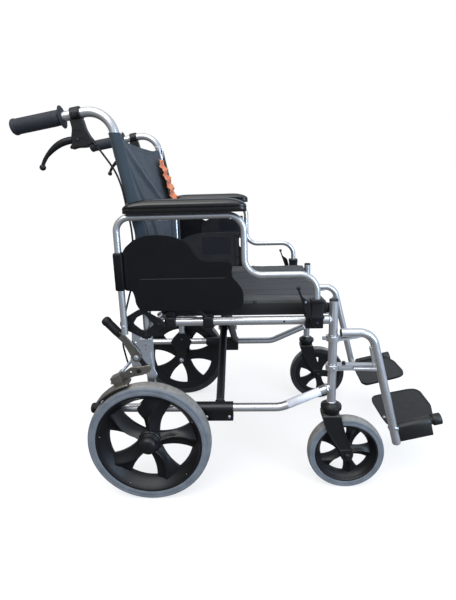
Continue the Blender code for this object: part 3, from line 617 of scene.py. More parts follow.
def axle_bracket():
    """Two rounded plates welded on the lower tube, joined by the bush that the axle goes through."""
    solids = [rod((WHEEL_X, Y - 0.0113, WHEEL_R), (WHEEL_X, Y + 0.0113, WHEEL_R), 0.0135, 28)]
    rear = [(CANE_X - 0.012, 0.036), (WHEEL_X - 0.038, 0.004), (WHEEL_X - 0.034, -0.010), (WHEEL_X - 0.020, -0.028)]
    ahead = [(WHEEL_X + 0.020, -0.028), (WHEEL_X + 0.036, -0.010), (WHEEL_X + 0.042, 0.004), (CANE_X + 0.012, 0.036)]
    rear, ahead = ([(x, LOWER_Z + h) for x, h in edge] for edge in (rear, ahead))
    outline = [*rear, *arc((WHEEL_X, WHEEL_R), 0.0150, 190, 350, 12), *ahead]
    for low, high in ((Y - 0.0128, Y - 0.0108), (Y + 0.0108, Y + 0.0128)):
        solids.append(plate(eased(outline, 0.004), low, high))
    bore = rod((LOWER_REAR_X, Y, LOWER_Z), (0, Y, LOWER_Z), TUBE_R + 0.0002, 32)
    cane_bore = rod((CANE_X, Y, LOWER_Z), (CANE_X, Y, LOWER_Z + 0.1), TUBE_R + 0.0002, 32)
    sided("axle_bracket", "black_paint", combined(solids, [bore, cane_bore]), "frame")


def frame_fittings():
    """Caps, a black disc painted as the shade in a small hole, and the rubber tip on the tipping tube."""
    cap = turned([(0, -0.006), (0.0095, -0.006), (0.0095, 0), (0.0112, 0.0004), (0.0112, 0.0022), (0.0095, 0.0040),
                  (0.005, 0.0048), (0, 0.005)], (POST_X, Y, POST_TOP), (0, 0, 1), 28)
    sided("post_cap", "black_plastic", cap, "frame")
    profile = [(0, -0.0045), (0.0095, -0.0045), (0.0122, -0.0028), (0.0135, 0.0), (0.0135, 0.0035), (0.0128, 0.0045),
               (0.0135, 0.0055), (0.0135, 0.0095), (0.0128, 0.0105), (0.0135, 0.0115), (0.0135, 0.026),
               (0.0145, 0.0275), (0.0145, 0.0305), (0.0132, 0.0315), (0.0112, 0.0318), (0.0112, 0.0300), (0, 0.0300)]
    tip = turned(profile, (LOWER_REAR_X, Y, LOWER_Z), (1, 0, 0), 32)
    sided("tipping_tip", "black_rubber", tip, "frame")
    # painted shade: a black disc on the tube's face stands in for the dark of a small hole
    hole = rod((0.101, Y - TUBE_R + 0.0006, UPPER_Z), (0.101, Y - TUBE_R - 0.0004, UPPER_Z), 0.0026, 16, 0.0002)
    sided("rail_hole_painted_shade", "black_plastic", hole, "frame")
    sided("tube_label", "pale_label", label_sleeve(), "frame", smooth_deg=50)


def label_sleeve():
    """A plain pale label wrapped round the outer half of the rising lower tube."""
    rise = Vector((POST_X - LOWER_BEND_X, 0, LOWER_JOIN_Z - LOWER_Z)).normalized()
    side, up = Vector((0, -1, 0)), Vector((0, -1, 0)).cross(rise)
    origin = Vector((POST_X, Y, LOWER_JOIN_Z))
    inner, outer = TUBE_R + 0.00005, TUBE_R + 0.0004
    rings = []
    for along in (-0.122, -0.1215, -0.032, -0.0315):
        centre = origin + rise * along
        grown = inner + 0.0001 if along in (-0.122, -0.0315) else outer
        angles = [math.radians(-88 + 176 * k / 20) for k in range(21)]
        ring = [centre + (side * math.cos(a) + up * math.sin(a)) * grown for a in angles]
        ring += [centre + (side * math.cos(a) + up * math.sin(a)) * inner for a in reversed(angles)]
        rings.append(ring)
    return rings_solid(rings)


def cane():
    foot = (CANE_X, LOWER_Z + TUBE_R + 0.0006)
    corners = side_path([foot, (CANE_X, CANE_BEND_Z), HANDLE_CORNER, HANDLE_REAR], Y)
    solids = [tube(bent(corners, [0.09, 0.057], 14), TUBE_R, 28)]
    solids.append(weld((CANE_X, Y, LOWER_Z + TUBE_R + 0.0015), (0, 0, 1), TUBE_R * 0.99))
    sided("cane_tubing", "silver_paint", combined(solids), "frame", "back_cane")


def handle_direction():
    rear, corner = Vector(at_y(HANDLE_REAR, 0)), Vector(at_y(HANDLE_CORNER, 0))
    return (corner - rear).normalized()


def grip():
    """A ribbed rubber grip with a domed end and a flange that is taller than it is wide."""
    bore = TUBE_R + 0.0003
    profile = [(0, -0.0043), (0.010, -0.0042), (0.0155, -0.0030), (0.0180, -0.0005), (0.0186, 0.0020)]
    profile += [(0.0186, 0.0050), (0.0178, 0.0062)]
    h = 0.0075
    while h < GRIP_LENGTH - 0.016:
        profile += [(0.0170, h), (0.0175, h + 0.0008), (0.0175, h + 0.0021), (0.0170, h + 0.0029)]
        h += 0.0038
    neck = len(profile)
    profile += [(0.0172, GRIP_LENGTH - 0.0105), (0.0185, GRIP_LENGTH - 0.0068), (0.0225, GRIP_LENGTH - 0.0048),
                (0.0252, GRIP_LENGTH - 0.0036), (0.0254, GRIP_LENGTH - 0.0018), (0.0240, GRIP_LENGTH - 0.0008)]
    rim = len(profile)
    profile += [(0.0160, GRIP_LENGTH), (bore, GRIP_LENGTH), (bore, -0.0003), (0, -0.0003)]

    def lobes(angle, i):
        return 1 - 0.22 * math.sin(angle) ** 2 if neck < i < rim else 1.0

    start = at_y(HANDLE_REAR, Y)
    sided("grip_cover", "grip_rubber", turned(profile, start, handle_direction(), 48, lobes), "frame", "handle_grip")


def lever_housing():
    clamp_x = -0.368
    ahead = handle_direction()
    clamp_z = HANDLE_REAR[1] + (clamp_x - HANDLE_REAR[0]) * ahead.z / ahead.x
    middle = Vector((clamp_x, Y, clamp_z))
    inner, outer = TUBE_R + 0.0003, 0.0158
    ring = [(inner, -0.011), (outer - 0.001, -0.011), (outer, -0.010), (outer, 0.010), (outer - 0.001, 0.011),
            (inner, 0.011)]
    clamp = turned(ring, middle, ahead, 36)
    outline = [(-0.383, 0.952), (-0.354, 0.952), (-0.349, 0.930), (-0.341, 0.914), (-0.333, 0.904), (-0.3355, 0.895)]
    outline += [(-0.350, 0.8885), (-0.372, 0.8885), (-0.385, 0.8845), (-0.3885, 0.890), (-0.382, 0.897)]
    outline += [(-0.384, 0.906), (-0.379, 0.930)]
    body = plate(eased(outline, 0.005), Y - 0.0095, Y + 0.0095, 0.0022)
    reach = ahead * 0.03
    bore = rod(middle - reach, middle + reach, inner, 36)
    slot = block((-0.400, Y - 0.0050, 0.880), (-0.352, Y + 0.0050, 0.919), 0.0008)
    panel_outline = eased([(-0.3765, 0.9265), (-0.3565, 0.9265), (-0.3545, 0.914), (-0.3745, 0.9115)], 0.003)
    low_corners = [(-0.372, 0.9075), (-0.350, 0.9095), (-0.342, 0.900), (-0.352, 0.8945), (-0.372, 0.8945)]
    low_outline = eased(low_corners, 0.003)
    cuts = [bore, slot]
    for outlines in (panel_outline, low_outline):
        for low, high in ((Y - 0.0105, Y - 0.0084), (Y + 0.0084, Y + 0.0105)):
            cuts.append(plate(outlines, low, high, 0.0003))
    parts = [clamp, body]
    parts += [rod((clamp_x - 0.001, Y - 0.0120, 0.9580), (clamp_x - 0.001, Y - 0.0182, 0.9580), 0.0066, 24, 0.001)]
    sided("lever_housing", "black_plastic", combined(parts, cuts), "frame", "brake_lever_housing")
    bolt_at = (clamp_x - 0.001, Y - 0.0180, 0.9580)
    sided("clamp_bolt", "black_paint", joined(bolt_head(bolt_at, (0, -1, 0), 0.0036, 0.0022)), "frame")
    pin = turned([(0, 0), (0.0036, 0), (0.0036, 0.0008), (0.0020, 0.0013), (0, 0.0013)],
                 (LEVER_PIVOT[0], Y - 0.0086, LEVER_PIVOT[1]), (0, -1, 0), 20)
    sided("lever_pin", "black_paint", pin, "frame")
    out = Vector(CABLE_ROUTE[1]) - Vector(CABLE_ROUTE[0])
    ferrule = turned([(0, -0.006), (0.0050, -0.006), (0.0050, 0.002), (0.0042, 0.003), (0.0042, 0.0075),
                      (0.0034, 0.0085), (0, 0.0085)], CABLE_ROUTE[0], out, 20)
    sided("cable_ferrule", "black_plastic", ferrule, "frame")


def brake_lever():
    pivot = (LEVER_PIVOT[0], Y, LEVER_PIVOT[1])
    curve = [LEVER_PIVOT, (-0.380, 0.9055), (-0.392, 0.905), (-0.412, 0.899), (-0.430, 0.888), (-0.446, 0.8735)]
    curve += [(-0.4550, 0.861), (-0.4592, 0.8525)]
    route = smooth_route(side_path(curve, Y), 0.004)
    widths = []
    for k in range(len(route)):
        t = k / (len(route) - 1)
        widths.append(0.0076 + 0.0018 * math.sin(math.pi * min(1, t * 1.3)) - 0.0034 * t)
    arm = tube(route, widths, 20, 0.80)
    hub = turned([(0, -0.0046), (0.0075, -0.0046), (0.0083, -0.0036), (0.0083, 0.0036), (0.0075, 0.0046), (0, 0.0046)],
                 pivot, (0, 1, 0), 28)
    ball = turned(ball_profile(0.0073, 14), (-0.4616, Y, 0.8398), (0.15, 0, 1), 24)
    sided("lever_blade", "black_plastic", combined([arm, hub, ball]), "brake_grip", "brake_lever", 50)


def ball_profile(radius, steps):
    angles = [math.pi * k / steps for k in range(steps + 1)]
    inner = [(radius * math.sin(a), radius - radius * math.cos(a)) for a in angles[1:-1]]
    return [(0, 0), *inner, (0, 2 * radius)]


CABLE_ROUTE = [
    (-0.3335, Y, 0.898),
    (-0.316, Y - 0.003, 0.875),
    (-0.290, Y - 0.006, 0.836),
    (-0.276, Y - 0.009, 0.800),
    (-0.268, Y - 0.010, 0.755),
    (-0.2605, Y - 0.009, 0.700),
    (-0.2600, Y - 0.009, 0.640),
    (-0.266, Y - 0.008, 0.580),
    (-0.284, Y - 0.001, 0.525),
    (-0.300, Y + 0.008, 0.475),
    (-0.311, Y + 0.010, 0.410),
    (-0.308, Y + 0.010, 0.378),
    (-0.303, Y + 0.010, 0.352),
]


def cable():
    route = smooth_route(CABLE_ROUTE, 0.008)
    sided("cable_cover", "black_rubber", tube(route, 0.0023, 14), "frame", "brake_cable", 60)
    y = Y + 0.010
    start, end = Vector((-0.286, y, 0.364)), Vector((-0.3195, y, 0.3275))
    barrel = [(0, 0)]
    length = (end - start).length
    h = 0.0
    while h < length - 0.002:
        barrel += [(0.0034, h), (0.0040, h + 0.0006), (0.0034, h + 0.0012)]
        h += 0.0016
    barrel += [(0.0034, length), (0, length)]
    parts = [turned(barrel, start, end - start, 20)]
    nut_start, nut_end = Vector((-0.318, y, 0.329)), Vector((-0.352, y, 0.292))
    down = nut_end - nut_start
    parts.append(turned([(0, 0), (0.0058, 0), (0.0065, 0.001), (0.0065, 0.010), (0.0058, 0.011), (0, 0.011)],
                        nut_start, down, 6))
    parts.append(rod(nut_start + down * 0.3, nut_end, 0.0036, 18))
    parts.append(turned([(0, 0), (0.0078, 0), (0.0090, 0.0012), (0.0090, 0.0150), (0.0078, 0.0162), (0, 0.0162)],
                        nut_start + down * 0.55, down, 6))
    sided("cable_adjuster", "zinc_steel", joined(parts), "frame")


# Armrest


def arm_tubing():
    corners = [(ARM_LEG_X, 0.446), (ARM_LEG_X, ARM_TOP_Z), (ARM_STEP_X, ARM_TOP_Z), (ARM_STEP_X, ARM_LOW_Z)]
    corners += [(ARM_FOOT_X, ARM_LOW_Z), (ARM_FOOT_X, ARM_FOOT_Z)]
    path = bent(side_path(corners, -ARM_Y), [0.033, 0.038, 0.040, 0.042], 14)
    sided("arm_tubing", "silver_paint", tube(path, ARM_TUBE_R, 26), "armrest", "armrest_tube")
    rivets = []
    for x, z in ((ARM_LEG_X, 0.467), (-0.186, 0.7212), (-0.024, 0.7212)):
        down = (0, -1, 0) if z < 0.5 else (0, -0.45, -1)
        at = (x, -ARM_Y - ARM_TUBE_R + 0.0004, z) if z < 0.5 else (x, -ARM_Y - 0.0030, z - 0.0002)
        rivets.append(screw_head(at, down, 0.0036, 0.0020))
    sided("arm_screws", "zinc_steel", joined(rivets), "armrest")


def pad_section(half, low, high, seam):
    """One side of the pad's cross-section from the middle of its underside to the middle of its top."""
    points = [(0, low), (half * 0.55, low), (half - 0.0042, low + 0.0002), (half - 0.0016, low + 0.0012)]
    points += [(half - 0.0006, low + 0.0034), (half, seam - 0.0035), (half - 0.0002, seam - 0.0016)]
    points += [(half - 0.0016, seam - 0.0004), (half - 0.0016, seam + 0.0004), (half - 0.0001, seam + 0.0017)]
    rise = high - seam - 0.0017
    for k in range(1, 15):
        a = math.pi / 2 * k / 14
        points.append((half * math.cos(a) ** 0.62, seam + 0.0017 + rise * math.sin(a) ** 0.85))
    return points


def arm_pad():
    """A glossy moulded pad: flat underside, a seam line round its side and a domed top that slopes at its ends."""
    rear, front = -0.266, 0.014
    low, high = ARM_TOP_Z + ARM_TUBE_R + 0.0003, ARM_TOP_Z + ARM_TUBE_R + 0.0315
    middle, half = -ARM_Y - 0.00525, 0.02475
    stations = [0, 0.0006, 0.0020, 0.0045, 0.008, 0.013, 0.019, 0.027, 0.037, 0.050, 0.065]
    length = front - rear
    places = stations + [length * k / 12 for k in range(4, 9)] + [length - s for s in reversed(stations)]
    rings = []
    for s in places:
        back, ahead = s, length - s
        narrow = min(round_end(back, 0.022), round_end(ahead, 0.030))
        crown = min(0.50 + 0.50 * ease(back / 0.062), 0.52 + 0.48 * ease(ahead / 0.050))
        tuck = 1 - 0.35 * (1 - min(round_end(back, 0.010), round_end(ahead, 0.010)))
        top = low + (high - low) * max(crown * tuck, 0.3)
        seam = min(low + 0.0125, low + (top - low) * 0.55)
        one = pad_section(half * max(narrow, 0.45), low, top, seam)
        ring = [(rear + s, middle - w, z) for w, z in one] + [(rear + s, middle + w, z) for w, z in one[-2:0:-1]]
        rings.append(ring)
    solid = rings_solid(rings)
    for pad in sided("arm_pad", "black_vinyl", solid, "armrest", "armrest_pad", 42).values():
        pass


def ease(t):
    t = max(0.0, min(1.0, t))
    return math.sin(math.pi / 2 * t) ** 0.7


def round_end(distance, radius):
    """The share of full width at a distance from a rounded end."""
    if distance >= radius:
        return 1.0
    return math.sqrt(max(0.0, 1 - (1 - distance / radius) ** 2)) * 0.55 + 0.45


def guard_outline():
    curve = [(-0.0235, 0.597), (-0.022, 0.612), (-0.030, 0.6215), (-0.060, 0.6235), (-0.086, 0.625), (-0.103, 0.633)]
    curve += [(-0.121, 0.660), (-0.136, 0.673), (-0.160, 0.683), (-0.195, 0.687), (-0.225, 0.685), (-0.252, 0.676)]
    top = [(x, z) for x, _, z in smooth_route(side_path(curve, 0), 0.006)]
    rear = [(-0.272, 0.659), (-0.2785, 0.648), (-0.2785, 0.556), (-0.262, 0.5545)]
    rear += [(-0.2575, 0.540), (-0.2560, 0.524), (-0.2500, 0.511)]
    rear = [(x, z) for x, z in eased([(-0.252, 0.676), *rear, (-0.239, 0.504), (-0.1, 0.5035)], 0.004)][5:-5]
    curve = [(-0.013, 0.503), (-0.0025, 0.510), (0.0028, 0.526), (0.0015, 0.551), (-0.009, 0.570), (-0.0205, 0.583)]
    front = [(x, z) for x, _, z in smooth_route(side_path([*curve, (-0.0235, 0.597)], 0), 0.006)]
    return top + rear + front[:-1]


def side_guard():
    """A moulded skirt with a crease across it, a sleeve on the arm's rear tube and an insert behind its front."""
    outer, inner = -ARM_Y - 0.0028, -ARM_Y + 0.0015
    outline = guard_outline()
    panel = plate(outline, outer, inner, 0.0011)
    crease = block((-0.2445, outer - 0.001, 0.5825), (-0.034, outer + 0.0012, 0.5846), 0.0006, 1)
    sleeve_low = (ARM_LEG_X - 0.0112, -ARM_Y - 0.0112, 0.5565)
    sleeve = block(sleeve_low, (ARM_LEG_X + 0.0112, -ARM_Y + 0.0112, 0.648), 0.0045, 4)
    bore = rod((ARM_LEG_X, -ARM_Y, 0.5), (ARM_LEG_X, -ARM_Y, 0.7), ARM_TUBE_R + 0.0003, 26)
    lip = plate(eased([(-0.277, 0.645), (-0.277, 0.559), (-0.270, 0.559), (-0.270, 0.645)], 0.003),
                outer - 0.0012, outer + 0.001, 0.0006)
    sided("guard_panel", "guard_plastic", combined([panel, sleeve, lip], [crease, bore]), "armrest", "side_guard", 30)
    insert_outline = [(-0.156, 0.662), (-0.142, 0.6725), (-0.124, 0.682), (-0.100, 0.688), (-0.072, 0.6895)]
    insert_outline += [(-0.006, 0.6895), (-0.0045, 0.688), (-0.0045, 0.612), (-0.012, 0.610), (-0.156, 0.610)]
    insert = plate(eased(insert_outline, 0.005), -ARM_Y + 0.0010, -ARM_Y + 0.0046, 0.0008)
    recess = plate(eased([(-0.092, 0.679), (-0.0245, 0.679), (-0.0245, 0.637), (-0.092, 0.637)], 0.006),
                   -ARM_Y - 0.001, -ARM_Y + 0.0021, 0.0003)
    rib = plate(eased([(-0.0140, 0.687), (-0.0060, 0.687), (-0.0060, 0.612), (-0.0140, 0.612)], 0.002),
                -ARM_Y - 0.0022, -ARM_Y + 0.002, 0.0006)
    sided("guard_insert", "insert_plastic", combined([insert, rib], [recess]), "armrest", smooth_deg=30)
    screws = [screw_head((-0.0095, -ARM_Y - 0.0018, z), (0, -1, 0), 0.0034, 0.0018) for z in (0.682, 0.634)]
    sided("guard_screws", "black_paint", joined(screws), "armrest")


def cane_bracket():
    low_y, high_y = Y - 0.0206, Y - 0.0146
    outer = arc(ARM_PIVOT, 0.014, 250, 110, 8) + [(-0.262, 0.500), (-0.249, 0.506), (-0.236, 0.498)]
    outer += arc((-0.207, UPPER_Z), 0.013, 60, -60, 8) + arc((CANE_X, 0.436), 0.012, -20, -150, 8)
    window = [(-0.243, 0.4925), (-0.261, 0.4835), (-0.2720, 0.4670), (-0.2550, 0.4515)]
    window += [(-0.2415, 0.4470), (-0.2200, 0.4650)]
    web = plate(eased(outer, 0.004, 2), low_y, high_y, 0.0012)
    solids = [web]
    solids.append(rod(at_y(ARM_PIVOT, low_y + 0.001), at_y(ARM_PIVOT, -ARM_Y + ARM_TUBE_R + 0.0006), 0.0095, 28))
    solids.append(rod((-0.207, high_y - 0.001, UPPER_Z), (-0.207, Y - TUBE_R - 0.0003, UPPER_Z), 0.009, 28))
    solids.append(rod((CANE_X, high_y - 0.001, 0.436), (CANE_X, Y - TUBE_R - 0.0003, 0.436), 0.008, 28))
    for centre, radius in ((ARM_PIVOT, 0.0105), ((-0.207, UPPER_Z), 0.0095), ((CANE_X, 0.436), 0.0090)):
        solids.append(rod(at_y(centre, low_y + 0.001), at_y(centre, low_y - 0.0012), radius, 28, 0.0005))
    cut = plate(eased(window, 0.004), low_y - 0.01, high_y + 0.01, 0.0001)
    sided("cane_bracket_web", "black_plastic", combined(solids, [cut]), "frame", "cane_bracket", 30)
    bolts = []
    for x, z in ((-0.207, UPPER_Z), (CANE_X, 0.436)):
        bolts += bolt_head((x, low_y - 0.001, z), (0, -1, 0), 0.0042, 0.0026)
    bolts.append(screw_head((-0.262, low_y + 0.0003, 0.4445), (0, -1, 0), 0.0032, 0.0018))
    sided("bracket_bolts", "black_paint", joined(bolts), "frame")


def arm_socket():
    """A clamp on the upper tube with a cup for the arm's front foot."""
    clamp = block((0.152, Y - 0.0245, UPPER_Z - 0.0148), (0.190, Y + 0.0140, UPPER_Z + 0.0148), 0.0022, 3)
    cup = block((0.1615, -ARM_Y - 0.0125, UPPER_Z - 0.0070), (0.1905, -ARM_Y + 0.0125, 0.526), 0.0030, 3)
    collar = block((0.1605, -ARM_Y - 0.0135, 0.5185), (0.1915, -ARM_Y + 0.0135, 0.529), 0.0020, 2)
    neck = block((0.1590, -ARM_Y - 0.0128, 0.4815), (0.1930, -ARM_Y + 0.0126, 0.4885), 0.0015, 2)
    tube_bore = rod((0.10, Y, UPPER_Z), (0.25, Y, UPPER_Z), TUBE_R + 0.0003, 28)
    foot = (ARM_FOOT_X, -ARM_Y, ARM_FOOT_Z - 0.003)
    foot_bore = rod(foot, (ARM_FOOT_X, -ARM_Y, 0.60), ARM_TUBE_R + 0.0012, 26)
    split = box((0.14, Y - 0.03, UPPER_Z - 0.0006), (0.158, Y + 0.03, UPPER_Z + 0.0006))
    solid = combined([clamp, cup, collar, neck], [tube_bore, foot_bore, split])
    sided("arm_socket_body", "black_plastic", solid, "frame", "armrest_socket", 30)
    rivet = turned([(0, 0), (0.0038, 0), (0.0038, 0.0006), (0.0026, 0.0016), (0, 0.0018)],
                   (0.1762, -ARM_Y - 0.0124, 0.4705), (0, -1, 0), 20)
    sided("socket_rivet", "black_paint", rivet, "frame")


def release_lever():
    y_low, y_high = -ARM_Y - 0.0168, -ARM_Y - 0.0130
    outline = [(0.1285, 0.556), (0.1335, 0.556), (0.1395, 0.5385), (0.1555, 0.5270), (0.1610, 0.505)]
    outline += [(0.1600, 0.486), (0.1520, 0.486), (0.1455, 0.505), (0.1380, 0.528)]
    blade = plate(eased(outline, 0.004), y_low, y_high, 0.0008)
    ball = turned(ball_profile(0.0050, 12), (0.1310, (y_low + y_high) / 2, 0.5535), (0, 0, 1), 20)
    boss = rod((0.1475, y_low + 0.001, 0.526), (0.1475, y_low - 0.0030, 0.526), 0.0052, 24)
    sided("release_blade", "black_plastic", combined([blade, ball, boss]), "socket_lever", "socket_release_lever")
    pin = turned([(0, 0), (0.0026, 0), (0.0024, 0.0009), (0, 0.0012)], (0.1475, y_low - 0.0029, 0.526), (0, -1, 0), 16)
    sided("release_pin", "zinc_steel", pin, "socket_lever")


# Brakes at the rear wheel


def brake_plate():
    outline = [(-0.279, 0.443), (-0.259, 0.443), (-0.257, 0.426), (-0.226, 0.426), (-0.228, 0.396)]
    outline += [(-0.236, 0.388), (-0.230, 0.350), (-0.221, 0.327), (-0.234, 0.306), (-0.250, 0.330)]
    outline += [(-0.281, 0.330), (-0.288, 0.372), (-0.282, 0.405)]
    sheet = plate(eased(outline, 0.003, 3), Y - 0.0143, Y - 0.0117, 0.0005)
    holes = [(-0.271, 0.416), (-0.246, 0.4085), (-0.246, 0.3965)]
    cuts = [rod((x, Y - 0.02, z), (x, Y, z), 0.0024, 18) for x, z in holes]
    fold = plate(eased([(-0.259, 0.428), (-0.2265, 0.428), (-0.2265, 0.4245), (-0.259, 0.4245)], 0.001),
                 Y - 0.0215, Y - 0.0125, 0.0004)
    wing_outline = [(-0.2335, 0.348), (-0.2290, 0.350), (-0.221, 0.327), (-0.231, 0.310)]
    wing = plate(eased(wing_outline, 0.002), Y - 0.0206, Y - 0.0180, 0.0004)
    wing_leg = plate(eased([(-0.2340, 0.352), (-0.2290, 0.352), (-0.2275, 0.343), (-0.2335, 0.341)], 0.001),
                     Y - 0.0205, Y - 0.0125, 0.0004)
    solid = combined([sheet, fold, wing, wing_leg], cuts)
    sided("brake_plate_sheet", "zinc_steel", solid, "frame", "brake_plate", 30)


def parking_lever():
    """A pressed blade with a ribbed black grip, a hexagon bolt and a small tag under its pivot."""
    outline = [(-0.320, 0.436), (-0.308, 0.447), (-0.277, 0.412), (-0.2585, 0.388)]
    outline += arc(PARK_PIVOT, 0.0125, 20, -130, 8) + [(-0.292, 0.398), (-0.304, 0.420)]
    blade = plate(eased(outline, 0.004, 3), Y - 0.0200, Y - 0.0162, 0.0008)
    lip = [(-0.3055, 0.4440), (-0.3025, 0.4460), (-0.2705, 0.4080), (-0.2585, 0.3900), (-0.2615, 0.3880)]
    flange = plate(eased(lip, 0.001), Y - 0.0232, Y - 0.0165, 0.0005)
    washer = rod(at_y(PARK_PIVOT, Y - 0.0170), at_y(PARK_PIVOT, Y - 0.0147), 0.0065, 24)
    solid = combined([blade, flange, washer])
    sided("parking_blade", "brake_bronze", solid, "parking_lever", "parking_brake_lever", 30)
    start, end = Vector((-0.3075, Y - 0.0115, 0.4345)), Vector((-0.345, Y - 0.0115, 0.477))
    length = (end - start).length
    profile = [(0, 0), (0.0085, 0), (0.0098, 0.002), (0.0105, 0.008)]
    h = 0.010
    while h < length - 0.014:
        profile += [(0.0108, h), (0.0114, h + 0.0007), (0.0114, h + 0.0019), (0.0108, h + 0.0026)]
        h += 0.0034
    profile += [(0.0120, length - 0.011), (0.0122, length - 0.006), (0.0105, length), (0.0065, length + 0.003),
                (0, length + 0.004)]
    sided("parking_grip", "black_rubber", turned(profile, start, end - start, 32), "parking_lever", smooth_deg=50)
    bolt = bolt_head(at_y(PARK_PIVOT, Y - 0.0198), (0, -1, 0), 0.0052, 0.0036)
    sided("parking_bolt", "zinc_steel", joined(bolt), "parking_lever")


def shoe_arm():
    """The brake arm under the lever, with its bolt and the shoe that presses on the tread."""
    outline = [(-0.236, 0.357), (-0.262, 0.353), (-0.286, 0.352), (-0.297, 0.345), (-0.318, 0.329)]
    outline += [(-0.310, 0.314), (-0.281, 0.326), (-0.258, 0.330), (-0.238, 0.340)]
    link = plate(eased(outline, 0.005, 3), Y - 0.0200, Y - 0.0162, 0.0008)
    hole = rod((-0.288, Y - 0.03, 0.3385), (-0.288, Y, 0.3385), 0.0026, 18)
    centre = (WHEEL_X, WHEEL_R)
    shoe_low, shoe_high = -WHEEL_Y - WHEEL_HALF_WIDTH + 0.0025, -WHEEL_Y + WHEEL_HALF_WIDTH - 0.0015
    liner_outline = arc(centre, WHEEL_R + 0.0072, 105, 136, 12) + arc(centre, WHEEL_R + 0.0032, 136, 105, 12)
    shell_outline = arc(centre, WHEEL_R + 0.0118, 104, 137, 14) + arc(centre, WHEEL_R + 0.0066, 138, 104, 14)
    shell = plate(eased(shell_outline, 0.002, 3), shoe_low - 0.0006, shoe_high + 0.0006, 0.0014)
    bridge_outline = arc(centre, WHEEL_R + 0.034, 110, 118, 4) + arc(centre, WHEEL_R + 0.009, 118, 110, 4)
    bridge = plate(bridge_outline, -WHEEL_Y + 0.002, Y - 0.0170)
    washer = rod(at_y(ARM_BRAKE_PIVOT, Y - 0.0170), at_y(ARM_BRAKE_PIVOT, Y - 0.0147), 0.0060, 24)
    solid = combined([link, bridge, washer, shell], [hole])
    sided("shoe_arm_link", "brake_bronze", solid, "shoe_arm", "brake_arm", 30)
    liner = plate(eased(liner_outline, 0.002, 3), shoe_low, shoe_high, 0.0010)
    sided("brake_shoe", "black_rubber", liner, "shoe_arm", smooth_deg=40)
    bolt = bolt_head(at_y(ARM_BRAKE_PIVOT, Y - 0.0198), (0, -1, 0), 0.0046, 0.0034)
    sided("shoe_arm_bolt", "black_paint", joined(bolt), "shoe_arm")


def toggle_link():
    """The small bar between the parking lever's pivot and the shoe arm."""
    outline = eased([(-0.2765, 0.3830), (-0.2655, 0.3860), (-0.2440, 0.3550), (-0.2560, 0.3490)], 0.004)
    bar = plate(outline, Y - 0.0160, Y - 0.0147, 0.0003)
    sided("toggle_bar", "black_paint", bar, "frame", smooth_deg=30)


# Wheels


def tyre(name, node, look, centre, outer, inner, half, steps, body):
    """A solid tyre with rounded shoulders, a mould seam on each side and a groove round its tread."""
    soft = 0.3 * (outer - inner)
    wall = outer - soft
    side = [(inner + 0.0003, -half + 0.0010), (inner + 0.0020, -half + 0.0004), (wall - 0.0060, -half)]
    side += [(wall - 0.0052, -half + 0.0004), (wall - 0.0044, -half), (wall, -half + 0.0003)]
    for k in range(1, 6):
        a = math.pi / 2 * k / 6
        side.append((wall + soft * 0.85 * math.sin(a), -half + half * 0.5 * (1 - math.cos(a))))
    side += [(outer - 0.0004, -0.42 * half), (outer, -0.30 * half), (outer, -0.0008)]
    profile = side + [(outer - 0.0005, 0)] + [(r, -h) for r, h in reversed(side)]
    sided(name, look, turned(profile, centre, (0, 1, 0), steps), body, node, 40)


def spoke(inner, outer, root, tip, back, crest, front, rise):
    """One spoke along +X with its crest towards -Y: narrow and thick at the hub, flared at the rim.

    Its crest line swings to one side and back, and stands above hollowed flanks.
    """
    rings = []
    steps = 16
    for k in range(steps + 1):
        t = k / steps
        r = inner + (outer - inner) * t
        half = root + (tip - root) * t**2.6 + 0.004 * (1 - t) ** 3
        swing = rise * math.sin(math.pi * min(1.0, t * 1.08)) - rise * 0.9 * t**2
        top = crest + (front - crest) * t
        depth = back - top
        section = [(-half, back), (-half, back - depth * 0.38), (-half * 0.72 + swing * 0.35, back - depth * 0.47)]
        section += [(-half * 0.30 + swing * 0.8, back - depth * 0.66), (swing - half * 0.10, top + depth * 0.06)]
        section += [(swing, top), (swing + half * 0.10, top + depth * 0.06)]
        section += [(half * 0.30 + swing * 0.8, back - depth * 0.66), (half * 0.72 + swing * 0.35, back - depth * 0.47)]
        section += [(half, back - depth * 0.38), (half, back)]
        rings.append([(r, y, z) for z, y in section])
    return rings_solid(rings)


def spoked_wheel(centre, rim_profile, hub_profile, spokes, phase_deg, steps, extras=(), cuts=()):
    """A dished rim, a hub and five crested spokes, one mesh."""
    parts = [turned(profile, centre, (0, 1, 0), count) for profile, count in zip((rim_profile, hub_profile), steps)]
    for k in range(5):
        one = spoke(*spokes)
        moved(one, Matrix.Translation(centre) @ Matrix.Rotation(-math.radians(phase_deg + 72 * k), 4, "Y"))
        parts.append(one)
    return combined([*parts, *extras], cuts)


